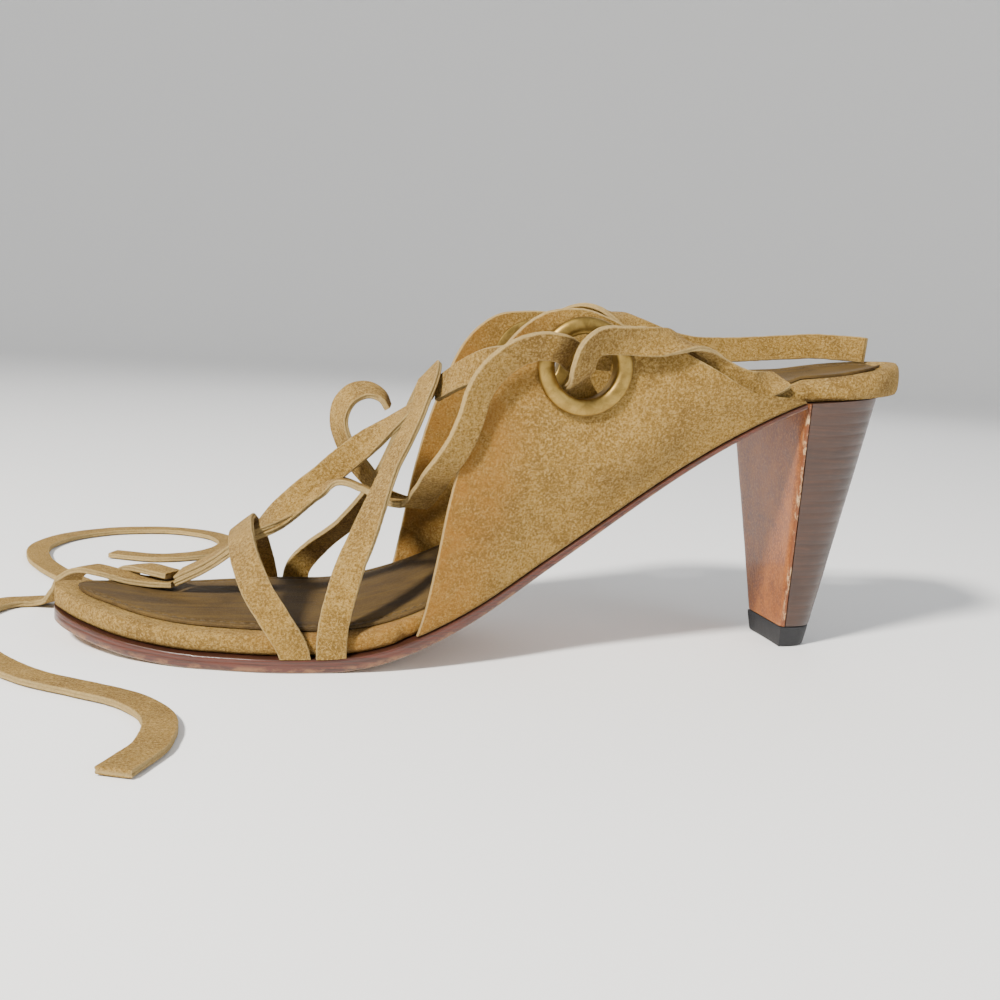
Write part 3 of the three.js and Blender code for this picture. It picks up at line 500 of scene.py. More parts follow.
def shoe_point(place):
    """A place on the shoe, in millimetres, as a point of the frame, in metres."""
    s, y, z = place
    return Vector(((s - ORIGIN_S) / 1000, (y - ORIGIN_Y) / 1000, z / 1000))


def flattened(rings):
    return [point for ring in rings for point in ring]


def loft_faces(rings, first=0, joined=False):
    """Faces through rings of equally many points. The ends are closed, or joined together."""
    count = len(rings[0])
    faces = []
    for r in range(len(rings) - (0 if joined else 1)):
        here = first + r * count
        there = first + (r + 1) % len(rings) * count
        for i in range(count):
            j = (i + 1) % count
            faces.append((here + i, here + j, there + j, there + i))
    if not joined:
        last = first + (len(rings) - 1) * count
        faces.append(tuple(first + i for i in range(count)))
        faces.append(tuple(last + i for i in reversed(range(count))))
    return faces


def make_piece(name, points, faces, slot, nodes, masks=None, sharp=40.0, finish=None):
    """A mesh from points on the shoe. It rides on the body and replaces the named nodes."""
    mesh = bpy.data.meshes.new(name)
    mesh.from_pydata([shoe_point(p) for p in points], [], faces)
    for mask, values in (masks or {}).items():
        layer = mesh.attributes.new(mask, "FLOAT", "POINT")
        layer.data.foreach_set("value", values)
    body = bmesh.new()
    body.from_mesh(mesh)
    bmesh.ops.remove_doubles(body, verts=body.verts, dist=WELD)
    bmesh.ops.recalc_face_normals(body, faces=body.faces)
    body.to_mesh(mesh)
    body.free()
    mesh.polygons.foreach_set("use_smooth", [True] * len(mesh.polygons))
    mesh.set_sharp_from_angle(angle=math.radians(sharp))
    mesh.materials.append(finish_for(finish or slot))
    made = bpy.data.objects.new(name, mesh)
    bpy.context.scene.collection.objects.link(made)
    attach(made, "root")
    if nodes:
        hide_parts(*nodes)
    return made


def make_loft(name, rings, slot, nodes, masks=None, sharp=40.0, joined=False):
    """A piece whose surface goes through rings of points."""
    faces = loft_faces(rings, 0, joined)
    return make_piece(name, flattened(rings), faces, slot, nodes, masks, sharp)


# Materials


def feed(tree, inputs, sockets):
    """Sets or links the named inputs."""
    for name, value in sockets.items():
        if isinstance(value, Socket):
            tree.links.new(value.socket, inputs[name])
        else:
            inputs[name].default_value = value


class Socket:
    """A socket of a material, so that shader maths reads as a Python expression."""

    def __init__(self, tree, socket=None):
        self.tree = tree
        self.socket = socket

    def node(self, kind, settings=None, sockets=None, out=0):
        """Adds a node: first its settings, then the values or links of its sockets."""
        made = self.tree.nodes.new(kind)
        for name, value in (settings or {}).items():
            setattr(made, name, value)
        feed(self.tree, made.inputs, sockets or {})
        return Socket(self.tree, made.outputs[out])

    def maths(self, operation, *values):
        return self.node("ShaderNodeMath", {"operation": operation}, dict(enumerate(values)))

    def __add__(self, other):
        return self.maths("ADD", self, other)

    __radd__ = __add__

    def __mul__(self, other):
        return self.maths("MULTIPLY", self, other)

    __rmul__ = __mul__

    def __sub__(self, other):
        return self.maths("SUBTRACT", self, other)

    def __rsub__(self, other):
        return self.maths("SUBTRACT", other, self)

    def between(self, low, high):
        """0 below low, 1 above high and smooth between them."""
        return self.node(
            "ShaderNodeMapRange", {"interpolation_type": "SMOOTHSTEP"},
            {"Value": self, "From Min": low, "From Max": high},
        )

    def blend(self, first, second):
        """A colour that goes from the first to the second as this mask goes from 0 to 1."""
        sockets = {0: self, 6: colour(first), 7: colour(second)}
        return self.node("ShaderNodeMix", {"data_type": "RGBA"}, sockets, 2)

    def stretched(self, s, y, z):
        settings = {"operation": "MULTIPLY"}
        return self.node("ShaderNodeVectorMath", settings, {0: self, 1: (s, y, z)})

    def noise(self, scale, detail=3.0, roughness=0.55, distortion=0.0):
        """Noise over these coordinates with scale waves to the millimetre."""
        return self.node("ShaderNodeTexNoise", None, {
            "Vector": self, "Scale": scale, "Detail": detail, "Roughness": roughness,
            "Distortion": distortion,
        })

    def cells(self, scale, feature="F1"):
        sockets = {"Vector": self, "Scale": scale}
        return self.node("ShaderNodeTexVoronoi", {"feature": feature}, sockets)

    def bump(self, strength, distance):
        """This height as a bump. The distance is in millimetres."""
        sockets = {"Height": self, "Strength": strength, "Distance": distance / 1000}
        return self.node("ShaderNodeBump", None, sockets)

    def mask(self, name):
        """One of the piece's own masks, from 0 to 1."""
        return self.node("ShaderNodeAttribute", {"attribute_name": name}, None, 2)


def colour(value):
    """A colour with its alpha, or a link as it is."""
    return value if isinstance(value, Socket) else (*value, 1.0)


def suede(place, tones):
    """Napped suede: mottled, speckled, brushed in places, with pale cut edges."""
    blotch = place.noise(0.03, 3.0, 0.6)
    mottle = place.noise(0.14, 5.0, 0.65, 0.5)
    grain = place.noise(1.5, 5.0, 0.8)
    fibre = place.noise(4.5, 4.0, 0.8)
    speckle = place.noise(0.9, 6.0, 0.85, 0.3)
    brushed = place.stretched(0.22, 1.0, 1.1).noise(0.4, 5.0, 0.7, 1.6)
    tone = (0.45 * blotch + 0.55 * mottle).between(0.3, 0.6)
    base = tone.blend(tones.suede_shade, tones.suede)
    base = (brushed.between(0.48, 0.7) * 0.35).blend(base, tones.suede_light)
    base = (grain.between(0.48, 0.62) * 0.7).blend(base, tones.suede_light)
    base = ((1 - grain.between(0.38, 0.5)) * 0.85).blend(base, tones.suede_shade)
    base = (speckle.between(0.58, 0.7) * 0.75).blend(base, tones.suede_speck)
    base = ((1 - fibre.between(0.38, 0.5)) * 0.5).blend(base, tones.suede_speck)
    # A warmer orange tint along the panels' front and over the footbed near the ball.
    warm = place.mask("warm") * (0.35 + 0.65 * mottle.between(0.3, 0.65))
    base = (warm * 0.7).blend(base, tones.suede_warm)
    edge = place.mask("edge").between(0.35, 0.95) * (0.3 + 0.7 * place.noise(1.2, 3.0))
    base = edge.blend(base, tones.suede_edge)
    height = 0.6 * fibre + 1.0 * grain + 0.5 * mottle - 0.5 * speckle
    return {
        "Base Color": base,
        "Roughness": 0.86 + 0.12 * grain,
        "Normal": height.bump(1.0, 0.8),
        "Sheen Weight": 0.05,
        "Sheen Roughness": 0.5,
        "Specular IOR Level": 0.15,
    }


def sock_leather(place, tones):
    """Rubbed lining, streaked along the foot. Its dark colour is partly wear and partly painted
    shade from inside the shoe.
    """
    streak = place.stretched(0.12, 1.0, 0.3).noise(0.35, 5.0, 0.62, 1.0)
    patch = place.noise(0.045, 4.0, 0.6, 0.4)
    grain = place.cells(2.4)
    fine = place.noise(2.2, 3.0, 0.7)
    base = (0.5 * streak + 0.5 * patch).between(0.34, 0.66).blend(tones.sock_shade, tones.sock)
    base = (fine.between(0.5, 0.7) * 0.35).blend(base, tones.sock_light)
    return {
        "Base Color": base,
        "Roughness": 0.62 + 0.25 * streak,
        "Normal": (0.6 * grain + 0.5 * fine + 0.8 * streak).bump(0.4, 0.25),
        "Specular IOR Level": 0.25,
    }


def sole_leather(place, tones):
    """Waxed edge, worn to pale layers along its foot, with a painted shadow line along its top,
    and a scuffed underside.
    """
    up = place.mask("up")
    below = place.mask("under")
    wear = place.stretched(1, 1, 2.0).noise(0.22, 5.0, 0.65)
    fine = place.noise(1.6, 4.0, 0.7)
    layer = place.stretched(0.15, 0.15, 5.0).noise(0.6, 2.0, 0.5)
    edge = layer.between(0.4, 0.62).blend(tones.sole_edge, tones.sole_dark_and_shadow)
    worn = (1 - up.between(0.1, 0.42)) * wear.between(0.42, 0.6)
    edge = (worn * 0.8).blend(edge, tones.sole_worn)
    # Painted shadow: the top of the edge and the ledge beside the footbed are darkened, as where
    # the footbed shades them.
    edge = (up.between(0.86, 0.98) * 0.85).blend(edge, tones.sole_dark_and_shadow)
    scuff = place.noise(0.05, 6.0, 0.72, 0.8)
    tread = scuff.between(0.42, 0.62).blend(tones.sole_tread, tones.sole_scuff)
    tread = (fine.between(0.55, 0.75) * 0.4).blend(tread, tones.sole_dark_and_shadow)
    return {
        "Base Color": below.between(0.4, 0.9).blend(edge, tread),
        "Roughness": 0.26 + 0.3 * worn + 0.35 * below + 0.12 * fine,
        "Normal": (0.5 * fine + 0.8 * wear).bump(0.35, 0.2),
        "Coat Weight": 0.25,
    }


def stacked_leather(place, tones):
    """Layers pressed together, cut and polished, with scuffs."""
    bend = place.noise(0.08, 3.0) * 2.4
    height = place.node("ShaderNodeSeparateXYZ", None, {0: place}, 2) + bend
    lines = place.node("ShaderNodeCombineXYZ", None, {2: height}).noise(1.15, 4.0, 0.7)
    grain = place.stretched(0.12, 0.12, 1.0).noise(1.9, 4.0, 0.7, 0.5)
    patch = place.noise(0.07, 4.0, 0.6)
    scuff = place.stretched(1, 1, 0.4).noise(0.4, 5.0, 0.7)
    base = (0.3 + 0.7 * lines.between(0.36, 0.66)).blend(tones.stack_dark, tones.stack)
    base = (grain.between(0.5, 0.72) * 0.28).blend(base, tones.stack_light)
    base = (patch.between(0.42, 0.68) * 0.5).blend(base, tones.stack_dark)
    base = (scuff.between(0.68, 0.76) * 0.35).blend(base, tones.stack_light)
    return {
        "Base Color": base,
        "Roughness": 0.3 + 0.22 * grain + 0.2 * patch,
        "Normal": (0.8 * lines + 0.5 * grain).bump(0.4, 0.16),
        "Coat Weight": 0.3,
    }


def cover_leather(place, tones):
    """Smooth leather with a mottled polish, cracked pale where it is folded."""
    fold = place.mask("edge")
    mottle = place.noise(0.22, 6.0, 0.68, 0.5)
    speckle = place.noise(1.5, 4.0, 0.72)
    patch = place.stretched(1, 1, 0.5).noise(0.07, 4.0, 0.6)
    crack = place.stretched(1, 1, 0.35).cells(0.9, "DISTANCE_TO_EDGE")
    base = (0.55 * mottle + 0.45 * patch).between(0.36, 0.64).blend(tones.cover_dark, tones.cover)
    base = (speckle.between(0.46, 0.64) * 0.6).blend(base, tones.cover_light)
    base = (fold.between(0.2, 0.8) * 0.75).blend(base, tones.cover_dark)
    cracked = place.stretched(1, 1, 0.4).noise(0.55, 5.0, 0.75)
    pale = fold.between(0.3, 0.9) * cracked.between(0.5, 0.62)
    base = (pale * 0.75).blend(base, tones.cover_fold)
    return {
        "Base Color": base,
        "Roughness": 0.34 + 0.25 * mottle + 0.2 * fold,
        "Normal": (0.5 * speckle + 0.4 * crack.between(0.0, 0.12)).bump(0.35, 0.2),
        "Coat Weight": 0.2,
    }


def rubber(place, tones):
    """Black rubber with dust in its grain."""
    grain = place.noise(2.6, 4.0, 0.7)
    dust = place.noise(0.3, 5.0, 0.7)
    base = (dust.between(0.55, 0.75) * 0.5).blend(tones.rubber, tones.rubber_dust)
    return {"Base Color": base, "Roughness": 0.52 + 0.3 * dust, "Normal": grain.bump(0.4, 0.2)}


def antique_brass(place, tones):
    """Brushed brass gone dull, darker where polish doesn't reach."""
    cloud = place.noise(0.3, 5.0, 0.65, 0.4)
    fine = place.noise(3.0, 3.0, 0.7)
    brush = place.stretched(0.4, 1.0, 1.0).noise(1.6, 3.0, 0.6)
    base = (0.45 + 0.55 * cloud.between(0.35, 0.65)).blend(tones.brass_dark, tones.brass)
    base = (fine.between(0.6, 0.75) * 0.2).blend(base, tones.brass_dark)
    return {
        "Base Color": base,
        "Roughness": 0.3 + 0.2 * cloud + 0.08 * brush,
        "Normal": (0.5 * fine + 0.5 * brush).bump(0.12, 0.08),
        "Metallic": 1.0,
    }


def thread(place, tones):
    """Twisted thread in the lining's colours, whose darkness is partly painted shade."""
    twist = place.stretched(1.0, 2.5, 1.0).noise(2.5, 2.0)
    return {
        "Base Color": twist.between(0.35, 0.65).blend(tones.sock_shade, tones.sock),
        "Roughness": 0.7 + 0.1 * twist,
        "Normal": twist.bump(0.4, 0.1),
    }


def stage_finish(place, tones):
    """Plain pale floor."""
    cloud = place.noise(0.004, 3.0)
    return {"Base Color": colour(tones.floor), "Roughness": 0.85 + 0.05 * cloud}


FINISHES = {
    "suede": suede,
    "sock_leather": sock_leather,
    "sole_leather": sole_leather,
    "stacked_leather": stacked_leather,
    "cover_leather": cover_leather,
    "rubber": rubber,
    "brass": antique_brass,
    "thread": thread,
    "floor": stage_finish,
}


def finish_for(finish):
    """The material of a finish, in this scene's colours. It is made once."""
    name = f"sandal_{finish}"
    made = bpy.data.materials.get(name)
    if made:
        return made
    made = bpy.data.materials.new(name)
    made.use_nodes = True
    tree = made.node_tree
    place = Socket(tree).node("ShaderNodeTexCoord", None, None, 3).stretched(1000, 1000, 1000)
    sockets = FINISHES[finish](place, bpy.context.scene.sandal_tones)
    feed(tree, tree.nodes["Principled BSDF"].inputs, sockets)
    return made


# Properties, one group for sizes, one for colours and one for the stage


def size(name, default, low, high, text):
    """A length, given in millimetres and kept in metres."""
    return bpy.props.FloatProperty(
        name=name, description=text, default=default / 1000, min=low / 1000, max=high / 1000,
        precision=5, unit="LENGTH",
    )


def tone(name, default, text):
    return bpy.props.FloatVectorProperty(
        name=name, description=text, default=default, min=0, max=1, size=3, subtype="COLOR",
    )


class SandalSizes(bpy.types.PropertyGroup):
    """Sizes of the details"""

    strap_width: size("Strap width", 7.6, 4, 12, "Width of toe bands and ties")
    strap_thickness: size("Strap thickness", 1.7, 1, 3, "Two bonded layers of suede")
    strap_groove: size("Strap groove", 0.18, 0, 0.6, "Depth of the line between the two layers")
    strap_waver: size("Strap waver", 0.22, 0, 1, "How far the cut edges wander")
    edge_round: size("Panel edge", 0.5, 0.1, 1, "Rounding of the side panels' cut edges")
    stitch_inset: size("Stitch line", 2.6, 1, 6, "From the edge of the sock to its stitching")
    stitch_length: size("Stitch length", 2.6, 1, 6, "Pitch of the sock's stitches")
    heel_layer: size("Heel layer", 3.1, 1, 6, "Thickness of one layer of the stacked heel")


def detail_sizes(context):
    """The sizes of the details as plain numbers, in millimetres."""
    sizes = context.scene.sandal_sizes
    names = SandalSizes.__annotations__
    return SimpleNamespace(**{name: 1000 * getattr(sizes, name) for name in names})


class SandalTones(bpy.types.PropertyGroup):
    """Colours of the finishes"""

    suede: tone("Suede", (0.42, 0.25, 0.056), "Suede, in the light")
    suede_light: tone("Suede nap", (0.65, 0.435, 0.145), "Suede where the nap catches the light")
    suede_shade: tone("Suede shade", (0.2, 0.108, 0.02), "Suede where it is darker")
    suede_speck: tone("Suede speckle", (0.07, 0.034, 0.008), "Specks in the suede")
    suede_warm: tone("Suede warm", (0.34, 0.138, 0.018), "Suede rubbed warm at the panels' front")
    suede_edge: tone("Suede edge", (0.58, 0.42, 0.18), "Cut edges of straps and panels")
    # The lining's dark tones are partly its worn colour and partly painted shade from inside the
    # shoe.
    sock: tone("Sock", (0.1, 0.058, 0.014), "Insole lining")
    sock_shade: tone("Sock shade", (0.038, 0.021, 0.006), "Insole lining where it is darker")
    sock_light: tone("Sock light", (0.18, 0.115, 0.035), "Insole lining where it is rubbed")
    sole_edge: tone("Sole edge", (0.085, 0.02, 0.01), "Waxed edge of the outsole")
    # Dark lines of the outsole, and also its painted shadow line where the footbed meets the
    # ledge.
    sole_dark_and_shadow: tone("Sole line", (0.045, 0.016, 0.01), "Dark lines of the outsole")
    sole_worn: tone("Sole wear", (0.24, 0.115, 0.05), "Worn edge of the outsole")
    sole_tread: tone("Sole underside", (0.3, 0.16, 0.075), "Underside of the outsole")
    sole_scuff: tone("Sole scuffs", (0.42, 0.32, 0.23), "Scuffed underside")
    stack: tone("Heel", (0.06, 0.021, 0.008), "Stacked leather")
    stack_dark: tone("Heel dark", (0.02, 0.008, 0.004), "Stacked leather, dark layers")
    stack_light: tone("Heel light", (0.12, 0.046, 0.017), "Stacked leather, scuffs")
    cover: tone("Breast cover", (0.3, 0.095, 0.017), "Leather over the heel breast")
    cover_dark: tone("Breast cover dark", (0.14, 0.036, 0.007), "Its darker patches")
    cover_light: tone("Breast cover light", (0.44, 0.16, 0.032), "Its lighter speckle")
    cover_fold: tone("Breast cover fold", (0.62, 0.42, 0.22), "Its cracked, folded edge")
    rubber: tone("Top piece", (0.012, 0.012, 0.014), "Rubber under the heel")
    rubber_dust: tone("Top piece dust", (0.06, 0.058, 0.055), "Dust on the rubber")
    brass: tone("Brass", (0.4, 0.265, 0.075), "Antique brass")
    brass_dark: tone("Brass dark", (0.15, 0.09, 0.022), "Antique brass where it is dull")
    floor: tone("Floor", (0.93, 0.93, 0.93), "Floor of the stage")


class SandalStage(bpy.types.PropertyGroup):
    """Light and camera"""

    key_power: bpy.props.FloatProperty(
        name="Key light", description="Power of the main light", default=54, min=0, unit="POWER",
    )
    fill_power: bpy.props.FloatProperty(
        name="Fill light", description="Power of the fill light", default=4, min=0, unit="POWER",
    )
    sky: bpy.props.FloatProperty(
        name="Sky", description="Strength of the light from all round", default=0.5, min=0,
    )
    azimuth: bpy.props.FloatProperty(
        name="Camera azimuth", description="Round the shoe, 0 looks across it",
        default=math.radians(-12.36), subtype="ANGLE",
    )
    elevation: bpy.props.FloatProperty(
        name="Camera elevation", description="Above the floor",
        default=math.radians(7.72), subtype="ANGLE",
    )
    roll: bpy.props.FloatProperty(
        name="Camera roll", description="About the line of sight",
        default=math.radians(3.15), subtype="ANGLE",
    )
    distance: bpy.props.FloatProperty(
        name="Camera distance", description="From the aim to the camera",
        default=0.34016, min=0.1, unit="LENGTH",
    )
    lens: bpy.props.FloatProperty(
        name="Lens", description="Focal length", default=43.2, min=10, unit="CAMERA",
    )


# Operators, one for the stage and one for each group of pieces

CAMERA_AIM = (120.01, 0, 40.07)
LAMP_AIM = (0.0, 0.0, 0.05)
FLOOR_RADIUS = 2.6
FLOOR_SEGMENTS = 72
WALL_BEND = 1.2
WALL_TOP = 3.2
SKY_TINT = (0.96, 0.98, 1.0, 1.0)
STANDS_OFF = 0.02
STITCH_RADIUS = 0.3
STITCH_SUNK = 0.22
STITCH_SHARE = 0.74
HEEL_SQUARENESS = 0.72
EYELET_SEGMENTS = 144
WASHER = 0.9
EYELET_CENTRE = Vector((EYELET_AT, EYELET_HEIGHT))


def add_lamp(name, place, width, power, tint):
    """A round lamp that looks at the shoe."""
    data = bpy.data.lights.new(name, "AREA")
    data.shape = "DISK"
    data.size = width
    data.energy = power
    data.color = tint
    lamp = bpy.data.objects.new(name, data)
    lamp.location = place
    lamp.rotation_mode = "QUATERNION"
    lamp.rotation_quaternion = (Vector(LAMP_AIM) - lamp.location).to_track_quat("-Z", "Y")
    bpy.context.scene.collection.objects.link(lamp)


class SANDAL_OT_stage(bpy.types.Operator):
    """Camera, floor and lights"""

    bl_idname = "sandal.stage"
    bl_label = "Stage"

    def execute(self, context):
        stage = context.scene.sandal_stage
        self.camera(context, stage)
        self.floor()
        self.lights(context, stage)
        return {"FINISHED"}

    def camera(self, context, stage):
        a, e, r = stage.azimuth, stage.elevation, stage.roll
        back = Vector((math.sin(a) * math.cos(e), -math.cos(a) * math.cos(e), math.sin(e)))
        right = Vector((math.cos(a), math.sin(a), 0))
        up = back.cross(right)
        tilted = right * math.cos(r) + up * math.sin(r)
        up = up * math.cos(r) - right * math.sin(r)
        data = bpy.data.cameras.new("camera")
        data.sensor_width = 36
        data.lens = stage.lens
        data.clip_start = 0.01
        data.clip_end = 50
        camera = bpy.data.objects.new("camera", data)
        turned = Matrix((tilted, up, back)).transposed().to_4x4()
        place = shoe_point(CAMERA_AIM) + back * stage.distance
        camera.matrix_world = Matrix.Translation(place) @ turned
        context.scene.collection.objects.link(camera)
        context.scene.camera = camera

    def floor(self):
        """A round floor that rises into a wall far from the shoe."""
        profile = [(0.0, 0.0), (0.6, 0.0), (1.6, 0.0), (FLOOR_RADIUS, 0.0)]
        for t in spaced(12, 0.1, math.pi / 2):
            rise = WALL_BEND - WALL_BEND * math.cos(t)
            profile.append((FLOOR_RADIUS + WALL_BEND * math.sin(t), rise))
        profile.append((FLOOR_RADIUS + WALL_BEND, WALL_TOP))
        points, faces = [(0.0, 0.0, 0.0)], []
        for radius, height in profile[1:]:
            for i in range(FLOOR_SEGMENTS):
                angle = 2 * math.pi * i / FLOOR_SEGMENTS
                points.append((radius * math.cos(angle), radius * math.sin(angle), height))
        for i in range(FLOOR_SEGMENTS):
            j = (i + 1) % FLOOR_SEGMENTS
            faces.append((0, 1 + i, 1 + j))
            for r in range(len(profile) - 2):
                a = 1 + r * FLOOR_SEGMENTS
                b = a + FLOOR_SEGMENTS
                faces.append((a + i, b + i, b + j, a + j))
        mesh = bpy.data.meshes.new("floor")
        mesh.from_pydata(points, [], faces)
        mesh.polygons.foreach_set("use_smooth", [True] * len(mesh.polygons))
        mesh.materials.append(finish_for("floor"))
        made = bpy.data.objects.new("floor", mesh)
        bpy.context.scene.collection.objects.link(made)

    def lights(self, context, stage):
        key, fill = stage.key_power, stage.fill_power
        add_lamp("key_light", (-0.85, -0.75, 1.0), 0.22, key, (1.0, 0.965, 0.9))
        add_lamp("fill_light", (0.9, -0.9, 0.5), 0.9, fill, (0.92, 0.96, 1.0))
        add_lamp("back_light", (0.5, 1.1, 0.9), 0.8, fill, (1.0, 1.0, 1.0))
        world = bpy.data.worlds.new("studio")
        world.use_nodes = True
        background = world.node_tree.nodes["Background"]
        background.inputs["Color"].default_value = SKY_TINT
        background.inputs["Strength"].default_value = stage.sky
        context.scene.world = world


class SANDAL_OT_ties(bpy.types.Operator):
    """The free runs of the tie: over the rims, through the eyelets and out to its ends"""

    bl_idname = "sandal.ties"
    bl_label = "Ties"

    def execute(self, context):
        sizes = detail_sizes(context)
        runs = [
            ("tie_inner", TIE_INNER, carried(0, 1, 0), 110, "object"),
            ("tie_rise", TIE_RISE, carried(1, 0, 0), 220, "object"),
            ("tie_curl", TIE_CURL, carried(1, 0, 0), 240, "object"),
            ("tie_medial", TIE_MEDIAL, carried(1, 0, 0), 300, "object"),
            ("tie_ear", TIE_EAR, sideways, 120, "object"),
            ("tie_end_far", TIE_END_FAR, level, 420, "bare"),
            ("tie_end_near", TIE_END_NEAR, level, 420, "bare"),
        ]
        for seed, (node, rows, across, steps, far_end) in enumerate(runs):
            rings, edges, path = strap_rings(rows, across, steps, sizes, 3.1 * seed)
            made = make_loft(f"{node}_strap", rings, "suede", [node], {"edge": edges})
            line = [shoe_point(p) for p in path]
        return {"FINISHED"}


class SANDAL_OT_bands(bpy.types.Operator):
    """The two toe bands and the strands that cross over them"""

    bl_idname = "sandal.bands"
    bl_label = "Toe bands"

    def execute(self, context):
        sizes = detail_sizes(context)
        self.band("toe_band_front", FRONT_BAND, FRONT_BAND_RISE, 200, sizes, 40.0)
        self.band("toe_band_rear", REAR_BAND, REAR_BAND_RISE, 260, sizes, 50.0)
        points, faces, edges = [], [], []
        for seed, table in ((60.0, UPPER_STRAND), (70.0, LOWER_STRAND)):
            rows = [
                (at * LENGTH, aside * BALL_WIDTH, up * HEEL_HEIGHT, roll)
                for at, aside, up, roll in table
            ]
            rings, share, _ = strap_rings(rows, sideways, 200, sizes, seed)
            faces += loft_faces(rings, len(points))
            points += flattened(rings)
            edges += share
        make_piece("tie_strands", points, faces, "suede", ["tie_crossings"], {"edge": edges})
        return {"FINISHED"}

    def band(self, node, table, rise, steps, sizes, seed):
        """A band whose two feet end on the ledge of the outsole."""
        rows = []
        for at, over, up, roll in table:
            s = at * LENGTH
            ledge = half(s) - OUTSOLE_STEP + GAP + sizes.strap_thickness / 2
            rows.append((s, mid(s) + over * ledge, sole_top(s) + GAP + up * (rise - GAP), roll))
        rings, edges, _ = strap_rings(rows, lengthways, steps, sizes, seed)
        count = len(rings[0])
        ground = [max(p[2] - sole_top(p[0]) for p in ring) for ring in rings]
        above = [i for i, height in enumerate(ground) if height > STANDS_OFF]
        first, last = above[0] - 1, above[-1] + 1
        kept = [
            [(s, y, max(z, sole_top(s) + STANDS_OFF)) for s, y, z in ring]
            for ring in rings[first:last + 1]
        ]
        shares = edges[first * count:(last + 1) * count]
        make_loft(f"{node}_strap", kept, "suede", [node], {"edge": shares})


